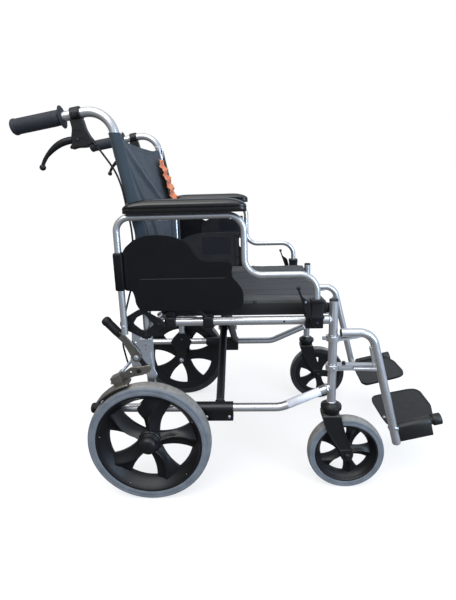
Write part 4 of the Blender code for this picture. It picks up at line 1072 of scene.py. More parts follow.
def rear_wheel():
    centre = (WHEEL_X, -WHEEL_Y, WHEEL_R)
    tyre("rear_tyre_ring", "rear_tyre", "rear_tyre", centre, WHEEL_R, WHEEL_RIM_R, WHEEL_HALF_WIDTH, 112, "rear_wheel")
    rim = [(0.1365, -0.0178), (0.1355, -0.0188), (0.1328, -0.0190), (0.1314, -0.0182), (0.1302, -0.0150)]
    rim += [(0.1255, -0.0085), (0.1180, 0.0015), (0.1115, 0.0110), (0.1095, 0.0160), (0.1105, 0.0176)]
    rim += [(0.1180, 0.0178), (0.1260, 0.0184), (0.1365, 0.0187)]
    hub = [(0, -0.0090), (0.0290, -0.0090), (0.0305, -0.0075), (0.0305, 0.0135), (0.0290, 0.0150), (0.0175, 0.0155),
           (0.0175, 0.0150), (0, 0.0150)]
    spokes = (0.020, 0.1205, 0.0150, 0.0440, 0.0152, -0.0105, -0.0015, 0.0110)
    collars = []
    for radius, low, high in ((0.0275, -0.0135, -0.0080), (0.0255, -0.0175, -0.0120)):
        collars.append(turned([(0, low), (radius - 0.001, low), (radius, low + 0.001), (radius, high), (0, high)],
                              centre, (0, 1, 0), 48))
    rim_solid = spoked_wheel(centre, rim, hub, spokes, REAR_SPOKE_DEG, (112, 48), collars)
    sided("rear_rim_casting", "black_plastic", rim_solid, "rear_wheel", "rear_rim", 36)
    dome = [(0, 0.0340), (0.0070, 0.0338), (0.0135, 0.0328), (0.0185, 0.0305), (0.0218, 0.0270), (0.0232, 0.0225)]
    dome += [(0.0236, 0.0190), (0.0236, 0.0160), (0, 0.0160)]
    sided("hub_cap", "black_plastic", turned(dome, centre, (0, -1, 0), 48), "rear_wheel", smooth_deg=50)
    lugs = []
    for k in range(10):
        angle = math.radians(28 + 36 * k)
        at = Vector((WHEEL_X + 0.1285 * math.cos(angle), -WHEEL_Y, WHEEL_R + 0.1285 * math.sin(angle)))
        inward = Vector((-math.cos(angle), 0, -math.sin(angle))) * 0.6 + Vector((0, -0.8, 0))
        lugs.append(turned(ball_profile(0.0011, 6), at + Vector((0, -0.0120, 0)), inward, 10))
    sided("rim_pips", "zinc_steel", joined(lugs[::2]), "rear_wheel", smooth_deg=60)


def rear_axle():
    start = (WHEEL_X, Y - 0.0118, WHEEL_R)
    profile = [(0, 0), (0.0100, 0), (0.0104, 0.0006), (0.0104, 0.0074), (0.0100, 0.0080), (0.0063, 0.008)]
    profile += [(0.0063, 0.053), (0, 0.053)]
    bolt = turned(profile, start, (0, -1, 0), 28)
    nut = turned([(0, 0), (0.0082, 0), (0.0090, 0.001), (0.0090, 0.0055), (0.0082, 0.0065), (0, 0.0065)],
                 (WHEEL_X, Y + 0.0113, WHEEL_R), (0, 1, 0), 6)
    tail = rod((WHEEL_X, Y + 0.010, WHEEL_R), (WHEEL_X, Y + 0.0215, WHEEL_R), 0.0048, 20)
    sided("wheel_axle", "zinc_steel", joined([bolt, nut, tail]), "frame", "rear_axle")


def caster_housing():
    profile = [(0, 0.2134), (0.0200, 0.2134), (0.0215, 0.2150), (0.0220, 0.2210), (0.0240, 0.2235), (0.0262, 0.2255)]
    profile += [(0.0268, 0.2275), (0.0268, 0.2335), (0.0262, 0.2352), (0.0225, 0.2362), (0.0195, 0.2380)]
    profile += [(0.0188, 0.2400), (0.0175, 0.2415), (0, 0.2415)]
    sided("caster_housing_body", "black_plastic", turned(profile, (POST_X, Y, 0), (0, 0, 1), 48), "frame",
          "caster_housing", 40)


def fork_leg(side):
    """One fork leg: wide and dished at the crown, narrow at the axle, with a raised rib along both edges."""
    hub = (CASTER_X, CASTER_R)
    inner, outer = side * FORK_INNER, side * FORK_OUTER
    rear = [(0.1985, 0.2125), (0.2010, 0.1960), (0.2105, 0.1700), (0.2265, 0.1400), (0.2440, 0.1120), (0.2485, 0.1000)]
    ahead = [(0.2455, 0.2125), (0.2490, 0.1960), (0.2560, 0.1700), (0.2660, 0.1400), (0.2765, 0.1150), (0.2795, 0.1020)]
    rear_route = [(x, z) for x, _, z in smooth_route(side_path(rear, 0), 0.008)]
    front_route = [(x, z) for x, _, z in smooth_route(side_path(ahead, 0), 0.008)]
    outline = rear_route + arc(hub, 0.0160, 200, 360, 12) + front_route[::-1]
    low, high = sorted((inner, outer))
    web = plate(outline, Y + low, Y + high, 0.0008)
    hollow = shrunk([*rear_route[1:-2], *front_route[-3:0:-1]], 0.0042)
    face = Y + outer
    pocket = plate(hollow, *sorted((face - side * 0.0016, face + side * 0.002)), 0.0002)
    return web, pocket


def caster_fork():
    crown = block((0.1985, Y - FORK_OUTER, 0.1985), (0.2455, Y + FORK_OUTER, 0.2130), 0.0058, 4)
    solids, cuts = [crown], []
    for side in (-1, 1):
        web, pocket = fork_leg(side)
        solids.append(web)
        cuts.append(pocket)
    hub = (CASTER_X, CASTER_R)
    cuts.append(rod(at_y(hub, Y - 0.05), at_y(hub, Y + 0.05), 0.0045, 20))
    ring = [(0.004, 0.2080), (0.0190, 0.2080), (0.0190, 0.2131), (0.004, 0.2131)]
    collar = turned(ring, (POST_X, Y, 0), (0, 0, 1), 40)
    sided("caster_fork_body", "fork_plastic", combined([*solids, collar], cuts), "caster_swivel", "caster_fork", 30)
    rear = [(0.2003, 0.2090), (0.2030, 0.1955), (0.2120, 0.1715), (0.2280, 0.1415), (0.2455, 0.1140)]
    route = smooth_route(side_path(rear, Y - FORK_OUTER + 0.0004), 0.006)
    sided("fork_rib", "fork_plastic", tube(route, 0.0016, 10, 0.8), "caster_swivel", smooth_deg=60)


def caster_wheel():
    centre = (CASTER_X, Y, CASTER_R)
    tyre("caster_tyre_ring", "caster_tyre", "caster_tyre", centre, CASTER_R, CASTER_RIM_R, CASTER_HALF_WIDTH, 96,
         "caster_wheel")
    rim = [(0.0820, -0.0143), (0.0812, -0.0149), (0.0785, -0.0149), (0.0775, -0.0140), (0.0765, -0.0110)]
    rim += [(0.0725, -0.0060), (0.0675, 0.0010), (0.0645, 0.0080), (0.0640, 0.0122), (0.0650, 0.0136)]
    rim += [(0.0720, 0.0141), (0.0820, 0.0144)]
    hub = [(0.0045, -0.0172), (0.0120, -0.0172), (0.0135, -0.0160), (0.0160, -0.0120), (0.0180, -0.0105)]
    hub += [(0.0180, 0.0130), (0.0150, 0.0165), (0.0045, 0.0172)]
    spokes = (0.0105, 0.0690, 0.0095, 0.0250, 0.0125, -0.0100, 0.0010, 0.0048)
    bore = rod((CASTER_X, Y - 0.05, CASTER_R), (CASTER_X, Y + 0.05, CASTER_R), 0.0045, 24)
    solid = spoked_wheel(centre, rim, hub, spokes, CASTER_SPOKE_DEG, (96, 40), cuts=[bore])
    sided("caster_rim_casting", "black_plastic", solid, "caster_wheel", "caster_rim", 36)
    half = FORK_OUTER
    shank = rod((CASTER_X, Y - half, CASTER_R), (CASTER_X, Y + half, CASTER_R), 0.0041, 20)
    heads = bolt_head((CASTER_X, Y - half, CASTER_R), (0, -1, 0), 0.0056, 0.0046)
    heads += bolt_head((CASTER_X, Y + half, CASTER_R), (0, 1, 0), 0.0056, 0.0046)
    sided("caster_bolt", "zinc_steel", joined([shank, *heads]), "caster_swivel", "caster_axle")
    dome = [(0, 0), (0.0078, 0), (0.0080, 0.0012), (0.0072, 0.0042), (0.0050, 0.0056), (0, 0.0060)]
    caps = [turned(dome, (CASTER_X, Y + way * half, CASTER_R), (0, way, 0), 28) for way in (-1, 1)]
    sided("caster_caps", "black_plastic", joined(caps), "caster_swivel", smooth_deg=50)


# Cross brace and seat rails


def cross_brace():
    """A foot sleeve on the lower tube, a leg across the chair and the seat rail on its upper end."""
    for side, x in (("right", BRACE_A_X), ("left", BRACE_B_X)):
        foot, head = Vector((x, Y, LOWER_Z)), Vector((x, RAIL_HALF, RAIL_Z))
        lean = (head - foot).normalized()
        sleeve = rod((BRACE_REAR_X, Y, LOWER_Z), (BRACE_FRONT_X, Y, LOWER_Z), TUBE_R + 0.0042, 32)
        shoe = block((-0.112, Y - 0.0130, 0.1955), (BRACE_FRONT_X, Y + 0.0130, LOWER_Z + 0.002), 0.0018, 3)
        leg = rod(foot + lean * 0.006, head, TUBE_R, 28)
        rail = rod((RAIL_REAR_X, RAIL_HALF, RAIL_Z), (RAIL_FRONT_X, RAIL_HALF, RAIL_Z), TUBE_R, 28)
        beads = [weld(foot + lean * 0.0175, lean, TUBE_R * 0.98), weld(head - lean * 0.0125, lean, TUBE_R * 0.98)]
        cuts = [rod((-0.30, Y, LOWER_Z), (0.05, Y, LOWER_Z), TUBE_R + 0.0004, 32),
                rod((-0.12, 0, CROSS_Z), (0.02, 0, CROSS_Z), 0.0045, 16)]
        solid = combined([leg, sleeve, shoe, rail, *beads], cuts)
        sided("cross_tubing", "black_paint", solid, "cross", "cross_tube", sides=(side,))
    screws = [screw_head((x, Y - 0.0129, 0.2075), (0, -1, 0), 0.0040, 0.0022) for x in (-0.041, -0.100)]
    sided("shoe_screws", "zinc_steel", joined(screws), "cross")
    knob = [(0, -0.010), (0.0092, -0.010), (0.0092, 0), (0.0118, 0.0004), (0.0130, 0.0016), (0.0130, 0.0095)]
    knob += [(0.0115, 0.0120), (0.0060, 0.0130), (0, 0.0132)]
    ends = [turned(knob, (RAIL_FRONT_X, RAIL_HALF, RAIL_Z), (1, 0, 0), 32),
            turned(knob, (RAIL_REAR_X, RAIL_HALF, RAIL_Z), (-1, 0, 0), 32)]
    sided("rail_knobs", "black_plastic", joined(ends), "cross")


def cross_bolt():
    start, end = BRACE_A_X - TUBE_R, BRACE_B_X + TUBE_R
    solids = [rod((start - 0.002, 0, CROSS_Z), (end + 0.002, 0, CROSS_Z), 0.0041, 20)]
    solids += bolt_head((start - 0.0002, 0, CROSS_Z), (-1, 0, 0), 0.0068, 0.0052)
    solids += bolt_head((end + 0.0002, 0, CROSS_Z), (1, 0, 0), 0.0068, 0.0052)
    solids.append(rod((BRACE_A_X + TUBE_R - 0.0002, 0, CROSS_Z), (BRACE_B_X - TUBE_R + 0.0002, 0, CROSS_Z), 0.0080, 24))
    bolt = finished("brace_bolt", "zinc_steel", joined(solids), 34)
    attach(bolt, CROSS_BODIES["right"])
    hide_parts("cross_pivot_bolt")


def cross_link():
    angle = math.radians(-14)
    top = Vector((LINK_X, LINK_TOP[0], LINK_TOP[1]))
    low = top + LINK_LENGTH * Vector((0, math.cos(angle), math.sin(angle)))
    for side in SIDES:
        shift = Vector((0 if side == "right" else -0.0045, 0, 0))
        half = Vector((0.0016, 0, 0))
        solids = [flat_bar(top + shift, low + shift, 0.0048, 0.0016)]
        for end in (top + shift, low + shift):
            solids.append(rod(end - half, end + half, 0.0075, 24, 0.0003))
        solid = combined(solids)
        sided("link_bar", "black_paint", solid, "link", "cross_link", sides=(side,))


def flat_bar(start, end, half_width, half_thick):
    """A flat strip whose thickness lies along X."""
    along = (end - start).normalized()
    across = Vector((1, 0, 0)).cross(along)
    rings = []
    for point in (start, end):
        ring = []
        for u, v in ((-1, -0.6), (-0.8, -1), (0.8, -1), (1, -0.6), (1, 0.6), (0.8, 1), (-0.8, 1), (-1, 0.6)):
            ring.append(point + across * u * half_width + Vector((1, 0, 0)) * v * half_thick)
        rings.append(ring)
    return rings_solid(rings)


def rail_cradles():
    """Black clips on the upper tube that the seat rail drops into, and a diagonal stay."""
    for name, low, high in (("rear_cradle", -0.195, -0.167), ("front_cradle", -0.0995, -0.0735)):
        reach = TUBE_R + 0.0036
        collar = block((low, Y - reach, UPPER_Z - 0.0148), (high, Y + reach, UPPER_Z + 0.0148), 0.0040, 3)
        top = RAIL_Z - 0.001 if name == "rear_cradle" else UPPER_Z + 0.0200
        arm = block((low + 0.002, Y - 0.006, UPPER_Z + 0.004), (high - 0.002, -RAIL_HALF + 0.0125, top), 0.0025, 3)
        bore = rod((-0.25, Y, UPPER_Z), (0.0, Y, UPPER_Z), TUBE_R + 0.0002, 28)
        seat = rod((-0.25, -RAIL_HALF, RAIL_Z), (0.0, -RAIL_HALF, RAIL_Z), 0.0152, 28)
        slot = box((-0.0900, Y + 0.0095, UPPER_Z - 0.030), (-0.0765, Y + 0.030, UPPER_Z + 0.0175))
        boss_at = ((low + high) / 2, UPPER_Z - 0.002)
        boss = rod(at_y(boss_at, Y - 0.0140), at_y(boss_at, Y - 0.0175), 0.0062, 24)
        sided(name, "black_plastic", combined([collar, arm, boss], [bore, seat, slot]), "frame", smooth_deg=30)
    stay = tube([(-0.088, Y - 0.004, 0.474), (-0.100, Y - 0.005, 0.486), (-0.128, Y - 0.006, 0.4985)], 0.0055, 16)
    sided("cradle_stay", "black_plastic", stay, "frame", smooth_deg=50)


# Legrests


def legrest():
    ring_r = TUBE_R + 0.0009
    top_start = (POST_X + 0.020, 0.430)
    path = bent(side_path([top_start, HANGER_ELBOW, HANGER_FOOT], Y), [0.040], 16)
    solids = [tube(path, TUBE_R, 28)]
    for low, high in ((0.410, 0.424), (0.333, 0.347)):
        collar = [(ring_r, low), (0.0160, low), (0.0168, low + 0.0008)]
        collar += [(0.0168, high - 0.0008), (0.0160, high), (ring_r, high)]
        solids.append(turned(collar, (POST_X, Y, 0), (0, 0, 1), 36))
    upper_web = [(POST_X + 0.012, 0.011), (POST_X + 0.060, 0.0085), (POST_X + 0.084, 0.004)]
    solids.append(level_web(upper_web, 0.4118, 0.4168, 0.012))
    solids.append(level_web([(POST_X - 0.0262, 0.0045), (POST_X - 0.012, 0.0060)], 0.4130, 0.4200, 0))
    for low in (0.3335, 0.3445):
        lower_web = [(POST_X + 0.012, 0.0115), (POST_X + 0.050, 0.0095), (0.334, 0.0060)]
        solids.append(level_web(lower_web, low, low + 0.0026, 0))
    solids.append(rod((POST_X + 0.052, Y - 0.001, 0.3350), (0.334, Y - 0.001, 0.3320), 0.0056, 20))
    solids.append(rod((0.3172, Y, 0.393), (0.3298, Y, 0.338), 0.0044, 20))
    solids.append(rod((0.391, Y + 0.002, 0.1475), (0.391, -STEP_Y + 0.006, 0.1475), 0.008, 24))
    cut = rod((POST_X, Y, 0.3), (POST_X, Y, 0.5), ring_r, 36)
    sided("hanger_tubing", "silver_paint", combined(solids, [cut]), "legrest", "legrest_hanger")
    foot = Vector(at_y(HANGER_FOOT, Y))
    down = (Vector(at_y(HANGER_FOOT, Y)) - Vector(at_y(HANGER_ELBOW, Y))).normalized()
    plugs = [turned([(0, -0.006), (0.0088, -0.006), (0.0088, 0.0), (0.0104, 0.0004), (0.0100, 0.0018), (0, 0.0024)],
                    foot, down, 28)]
    back = (Vector(at_y(top_start, Y)) - Vector(at_y(HANGER_ELBOW, Y))).normalized()
    plugs.append(turned([(0, -0.006), (0.0088, -0.006), (0.0088, 0.0), (0.0104, 0.0004), (0.0100, 0.0016), (0, 0.0022)],
                        Vector(at_y(top_start, Y)), back, 28))
    plugs.append(turned([(0, 0), (0.0042, 0), (0.0046, 0.001), (0.0046, 0.006), (0.0036, 0.008), (0, 0.0086)],
                        (POST_X + 0.0285, Y - 0.001, 0.3465), (0, 0, 1), 24))
    sided("hanger_plugs", "black_plastic", joined(plugs), "legrest")
    bolts = bolt_head((0.3905, Y - TUBE_R + 0.0006, 0.170), (0, -1, 0), 0.0046, 0.0034)
    bolts += [screw_head((POST_X + 0.002, Y - 0.0166, 0.3395), (0, -1, 0), 0.0032, 0.0016)]
    sided("hanger_bolts", "zinc_steel", joined(bolts), "legrest")


def level_web(widths, low, high, climb):
    """A level plate along the chair; widths lists (x, half width), and its front end climbs."""
    start, end = widths[0][0], widths[-1][0]
    rings = []
    for x, half in widths:
        lift = climb * ((x - start) / (end - start)) ** 1.5
        rings.append([(x, Y - half, low + lift), (x, Y + half, low + lift), (x, Y + half, high + lift),
                      (x, Y - half, high + lift)])
    return rings_solid(rings)


def step_frame():
    """Maps (along the hinge, inward, up) to world places for the right footplate."""
    place = Matrix.Translation((STEP_START[0], -STEP_Y, STEP_START[1]))
    return place @ Matrix.Rotation(-STEP_PITCH, 4, "Y")


def footplate():
    """A smooth deck with a raised border, a roll round the hinge that stands above it, a skirt and an end knob."""
    deck_low, deck_high = -0.0035, 0.0045
    plan = [(-0.012, 0.022), (-0.016, 0.060), (-0.018, STEP_WIDTH - 0.02), (-0.010, STEP_WIDTH - 0.004)]
    plan += [(0.0, STEP_WIDTH), (0.100, STEP_WIDTH - 0.004), (0.118, STEP_WIDTH - 0.012)]
    plan += [(0.126, STEP_WIDTH - 0.03), (0.124, 0.060), (0.112, 0.020)]
    plan += [(STEP_LENGTH - 0.006, 0.004), (0.006, 0.004)]
    outline = eased(plan, 0.010, 5)
    deck = rings_solid(slab(outline, deck_low, deck_high, 0.0016))
    rim = rings_solid(slab(outline, deck_high - 0.002, deck_high + 0.0014, 0.0008))
    inner = shrunk(outline, 0.0060)
    field = rings_solid(slab(inner, deck_high + 0.0004, 0.0200, 0.0002))
    barrel = turned([(0, 0.002), (0.0115, 0.002), (0.0130, 0.0035), (0.0130, STEP_LENGTH - 0.0055),
                     (0.0115, STEP_LENGTH - 0.004), (0, STEP_LENGTH - 0.004)], (0, 0, 0), (1, 0, 0), 40)
    knob = turned([(0, 0.099), (0.0120, 0.099), (0.0120, 0.1010), (0.0148, 0.1020), (0.0150, 0.1035), (0.0150, 0.1215),
                   (0.0140, 0.1232), (0.0100, 0.1235), (0.0090, 0.1228), (0, 0.1228)], (0, 0, 0), (1, 0, 0), 40)
    neck = turned([(0, 0.094), (0.0105, 0.094), (0.0105, 0.101), (0, 0.101)], (0, 0, 0), (1, 0, 0), 32)
    skirt_rings = []
    for x in (0.0062, 0.0072, STEP_LENGTH - 0.0072, STEP_LENGTH - 0.0062):
        edge = 0.0006 if x in (0.0062, STEP_LENGTH - 0.0062) else 0
        ring = [(x, -0.0090 - edge, -0.0350 + edge), (x, -0.0135 + edge, -0.0350 + edge), (x, -0.0142 + edge, -0.030)]
        ring += [(x, -0.0142 + edge, 0.0030), (x, -0.0115, 0.0092 - edge), (x, -0.0050, 0.0136 - edge),
                 (x, 0.0050, 0.0136 - edge), (x, 0.0110, 0.0095 - edge), (x, 0.0140 - edge, 0.0030),
                 (x, 0.0100, 0.0020), (x, 0.0, 0.0085), (x, -0.0090 - edge, 0.0020)]
        skirt_rings.append(ring)
    solid = combined([deck, rim, barrel, knob, neck, rings_solid(skirt_rings)], [field])
    sided("step_deck", "step_plastic", moved(solid, step_frame()), "step", "footplate", 32)
    screw = screw_head((-0.0105, 0.050, deck_high + 0.0004), (0, -0.2, 1), 0.0042, 0.0026)
    sided("step_screw", "zinc_steel", moved(screw, step_frame()), "step")


# Seat and back


def cane_centre(z):
    """The cane's centre line (x) at a height."""
    start, end = CANE_BEND_Z - 0.011, CANE_BEND_Z + 0.012
    slope = (HANDLE_CORNER[0] - CANE_X) / (HANDLE_CORNER[1] - CANE_BEND_Z)
    if z <= start:
        return CANE_X
    if z >= end:
        return CANE_X + slope * (z - CANE_BEND_Z)
    t = (z - start) / (end - start)
    return CANE_X + slope * t * t * (end - start) / 2


def ridge(u, v, start, end, height, width):
    """A crease: a soft ridge along a line, with shallow hollows beside it, fading at both ends."""
    du, dv = end[0] - start[0], end[1] - start[1]
    length = math.hypot(du, dv)
    along = ((u - start[0]) * du + (v - start[1]) * dv) / length
    off = ((u - start[0]) * dv - (v - start[1]) * du) / length
    share = along / length
    if not 0 < share < 1:
        return 0.0
    fade = math.sin(math.pi * share) ** 0.8
    d = (off / width) ** 2
    return height * fade * (1 - 0.9 * d) * math.exp(-d)


BACK_CREASES = [
    ((-0.216, 0.922), (0.205, 0.715), 0.0070, 0.016),
    ((-0.216, 0.905), (0.060, 0.560), 0.0060, 0.015),
    ((-0.212, 0.890), (-0.120, 0.535), 0.0045, 0.010),
    ((-0.216, 0.850), (-0.186, 0.530), 0.0030, 0.006),
    ((0.214, 0.850), (0.165, 0.540), 0.0034, 0.009),
    ((-0.060, 0.640), (0.130, 0.545), 0.0024, 0.012),
]
SLEEVE_TURN = 146.6
SLEEVE_R, BACK_HALF, BACK_LOW_Z, BACK_TOP_Z, BACK_SAG = 0.0142, 0.0026, 0.520, 0.9195, 0.0105


def back_depth(side, u, z):
    """How far the back's middle surface lies behind the cane's centre line at a distance u from the chair's middle."""
    y = SIDES[side] * u
    in_ness = max(0.0, min(1.0, (FRAME_HALF - u) / FRAME_HALF))
    slack = 0.014 * math.sin(math.pi / 2 * in_ness) ** 0.8
    fold = sum(ridge(y, z, *crease) for crease in BACK_CREASES)
    near_sleeve = max(0.0, min(1.0, (FRAME_HALF - SLEEVE_R - u) / 0.012))
    wobble = 0.0014 * noise.noise(Vector((y * 14, z * 10, 3.0)))
    wobble += 0.0003 * noise.noise(Vector((y * 50, z * 38, 5.0)))
    return slack - (fold + wobble) * near_sleeve


def back_row(side, share):
    """A closed ring across half of the back at one height share: front face, round the cane, rear face."""
    columns = 104
    front, rear = [], []
    for k in range(columns + 1):
        u = (FRAME_HALF - SLEEVE_R * 0.55) * k / columns
        top = BACK_TOP_Z - BACK_SAG * math.sin(math.pi / 2 * min(1.0, (FRAME_HALF - u) / 0.12)) ** 0.9
        z = BACK_LOW_Z + (top - BACK_LOW_Z) * share
        hem = math.exp(-(((top - z) - 0.013) / 0.0012) ** 2) * 0.0007
        seam = math.exp(-((u - 0.2155) / 0.0012) ** 2) * 0.0009
        edge = 0.0010 * math.exp(-((top - z) / 0.004) ** 2)
        half = BACK_HALF - hem - seam + edge
        x = cane_centre(z) - back_depth(side, u, z)
        front.append((x + half, u, z))
        rear.append((x - half, u, z))
    ring = list(front)
    z = front[-1][2]
    bunch = 1 + 0.05 * noise.noise(Vector((0, z * 40, 2)))
    for k in range(1, 24):
        a = math.radians(SLEEVE_TURN * (1 - k / 12))
        reach = SLEEVE_R * bunch
        ring.append((cane_centre(z) + reach * math.sin(a), FRAME_HALF + reach * math.cos(a), z))
    ring += reversed(rear)
    return ring


def back_upholstery():
    """Two halves of the back, each with a sleeve round its cane, that meet at the middle."""
    shares = [k / 92 for k in range(86)] + [0.934 + 0.066 * k / 14 for k in range(15)]
    for side, m in SIDES.items():
        rings = [[(x, m * u, z) for x, u, z in back_row(side, share)] for share in shares]
        half = finished(f"back_cover_{side}", "back_nylon", rings_solid(rings), 50)
        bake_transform(half)
        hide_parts(f"back_half_{side}")


SEAT_REAR, SEAT_FRONT = -0.186, 0.206


def seat_top(side, u, x):
    """Height of the seat's top over the rail's centre line."""
    share = max(0.0, min(1.0, u / RAIL_HALF))
    sling = 0.0085 + 0.0135 * share**1.7
    ends = min(1.0, (x - SEAT_REAR) / 0.02, (SEAT_FRONT - x) / 0.02)
    middle = max(0.0, min(1.0, u / 0.040))
    puff = 0.0012 * noise.noise(Vector((u * 16, x * 14, SIDES[side] * 2.0)))
    puff += 0.0006 * noise.noise(Vector((u * 45, x * 30, SIDES[side])))
    lines = 0.0
    for at in (0.075, 0.150):
        lines -= 0.0016 * math.exp(-((u - at) / 0.0022) ** 2)
    hem = -0.0014 * math.exp(-((u - 0.214) / 0.0016) ** 2)
    front_hem = -0.0010 * math.exp(-((SEAT_FRONT - x - 0.012) / 0.0015) ** 2)
    round_off = -0.0045 * (1 - math.sqrt(max(0.0, 1 - (1 - max(0.0, ends)) ** 2)))
    return sling + (puff + lines * 0.6) * middle + hem + front_hem + round_off


def seat_row(side, x):
    """A closed ring across half of the seat at one place along it: top, round the rail, underside."""
    columns = 96
    top, under = [], []
    ends = max(0.0, min(1.0, (x - SEAT_REAR) / 0.02, (SEAT_FRONT - x) / 0.02))
    for k in range(columns + 1):
        u = RAIL_HALF * k / columns
        height = seat_top(side, u, x)
        top.append((x, u, RAIL_Z + height))
        low = -0.002 - 0.0125 * max(0.0, (u - 0.16) / (RAIL_HALF - 0.16)) ** 1.5
        under.append((x, u, RAIL_Z + low - 0.002 * ends))
    high = top[-1][2] - RAIL_Z
    deep = RAIL_Z - under[-1][2]
    ring = list(top)
    for k in range(1, 16):
        a = math.pi / 2 - math.pi * k / 16
        reach = high if a > 0 else deep
        ring.append((x, RAIL_HALF + 0.0150 * math.cos(a) ** 0.75, RAIL_Z + reach * math.sin(a)))
    ring += reversed(under)
    return ring


def seat_upholstery():
    """Two halves of the sling seat, each wrapped over its rail, that meet at the middle."""
    span = SEAT_FRONT - SEAT_REAR
    places = [SEAT_REAR + d for d in (0, 0.0006, 0.002, 0.0045, 0.008, 0.012, 0.0165)]
    places += [SEAT_REAR + 0.0215 + (span - 0.043) * k / 84 for k in range(85)]
    places += [SEAT_FRONT - d for d in (0.0165, 0.0145, 0.013, 0.012, 0.011, 0.0095, 0.007, 0.0045, 0.002, 0.0006, 0)]
    for side, m in SIDES.items():
        rings = [[(x, m * u, z) for x, u, z in seat_row(side, x)] for x in places]
        half = finished(f"seat_cover_{side}", "seat_nylon", rings_solid(rings), 50)
        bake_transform(half)
        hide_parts(f"seat_half_{side}")
    snap = turned([(0, -0.001), (0.0052, -0.001), (0.0052, 0.0006), (0.0040, 0.0016), (0.0022, 0.0012), (0, 0.0012)],
                  (0.030, -RAIL_HALF - 0.0085, RAIL_Z + 0.0195), (0, -0.55, 1), 24)
    for side in SIDES:
        bm = snap.copy()
        made = finished(f"seat_snap_{side}", "black_plastic", mirrored(bm) if side == "left" else bm, 40)
        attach(made, CROSS_BODIES["left" if side == "right" else "right"])
    snap.free()


# Swing tag on the left cane


def swing_tag():
    """A plain crinkled orange card on a white string loop."""
    low, high, y_near, y_far = 0.752, 0.884, 0.152, 0.243
    rows, columns = 56, 20
    front = []
    for i in range(rows + 1):
        t = i / rows
        z = high + (low - high) * t
        lean = -0.2715 + 0.0405 * t**0.9
        row = []
        for j in range(columns + 1):
            s = j / columns
            ragged = 0.0030 * math.sin(t * 27 + 1.3) + 0.0018 * math.sin(t * 61)
            y = y_near + (y_far - y_near) * s + ragged * (1 if s < 0.5 else 0.6)
            crinkle = 0.0030 * math.sin(t * 27 + s * 2.4) + 0.0014 * math.sin(t * 64 - s * 6)
            row.append(Vector((lean + crinkle, y, z)))
        front.append(row)
    bm = bmesh.new()
    half = Vector((0.0004, 0, 0.0001))
    sides = [[[bm.verts.new(p + half * m) for p in row] for row in front] for m in (1, -1)]
    for sheet in sides:
        for a, b in zip(sheet, sheet[1:]):
            for j in range(columns):
                bm.faces.new((a[j], a[j + 1], b[j + 1], b[j]))
    one, two = sides
    border = [(0, j) for j in range(columns)] + [(i, columns) for i in range(rows)]
    border += [(rows, columns - j) for j in range(columns)] + [(rows - i, 0) for i in range(rows)]
    for (a, b), (c, d) in zip(border, border[1:] + border[:1]):
        bm.faces.new((one[a][b], one[c][d], two[c][d], two[a][b]))
    card = finished("swing_tag", "orange_card", facing_out(bm), 60)
    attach(card, "frame_left")
    hang_z = 0.934
    cane_x = cane_centre(hang_z)
    ring = []
    for k in range(15):
        a = math.radians(35 + 290 * k / 14)
        ring.append((cane_x + 0.0122 * math.cos(a), FRAME_HALF + 0.0122 * math.sin(a), hang_z - 0.0005 * k))
    start = (cane_x + 0.0150, FRAME_HALF - 0.012, 0.925)
    drop = [start, (cane_x + 0.0185, FRAME_HALF - 0.018, 0.912), (-0.2675, 0.212, 0.896), (-0.2690, 0.206, 0.884),
            (-0.2695, 0.2035, 0.8790)]
    route = smooth_route([*ring, *drop], 0.0025)
    string = finished("tag_string", "white_string", tube(route, 0.0011, 8), 60)
    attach(string, "frame_left")


# Stage: camera, light and floor


def make_camera():
    """The photograph's viewpoint, worked out from the object's known sizes."""
    place = Vector((0.0221, -1.2283, 0.7920))
    yaw, pitch, roll = -0.0429, 0.2193, -0.0267
    focal, width, height, centre = 415.515, 456, 600, (233.89, 279.17)
    level = Vector((math.cos(yaw), -math.sin(yaw), 0))
    ahead = Vector((math.sin(yaw) * math.cos(pitch), math.cos(yaw) * math.cos(pitch), -math.sin(pitch)))
    above = level.cross(ahead)
    right = level * math.cos(roll) + above * math.sin(roll)
    up = above * math.cos(roll) - level * math.sin(roll)
    data = bpy.data.cameras.new("camera")
    data.sensor_width = 36
    data.lens = focal * data.sensor_width / height
    data.shift_x = (width / 2 - centre[0]) / height
    data.shift_y = (centre[1] - height / 2) / height
    camera = bpy.data.objects.new("camera", data)
    bpy.context.scene.collection.objects.link(camera)
    camera.matrix_world = Matrix((
        (right.x, up.x, -ahead.x, place.x),
        (right.y, up.y, -ahead.y, place.y),
        (right.z, up.z, -ahead.z, place.z),
        (0, 0, 0, 1),
    ))
    bpy.context.scene.camera = camera


def lamp(name, kind, toward, power, colour=(1, 1, 1)):
    data = bpy.data.lights.new(name, kind)
    data.energy = power
    data.color = colour
    light = bpy.data.objects.new(name, data)
    bpy.context.scene.collection.objects.link(light)
    light.rotation_euler = Vector(toward).to_track_quat("-Z", "Y").to_euler()
    return light


def sun(name, toward, power, spread_deg):
    lamp(name, "SUN", toward, power).data.angle = math.radians(spread_deg)


def area_light(name, place, target, size, power, colour=(1, 1, 1)):
    light = lamp(name, "AREA", Vector(target) - Vector(place), power, colour)
    light.location = place
    light.data.shape = "RECTANGLE"
    light.data.size, light.data.size_y = size


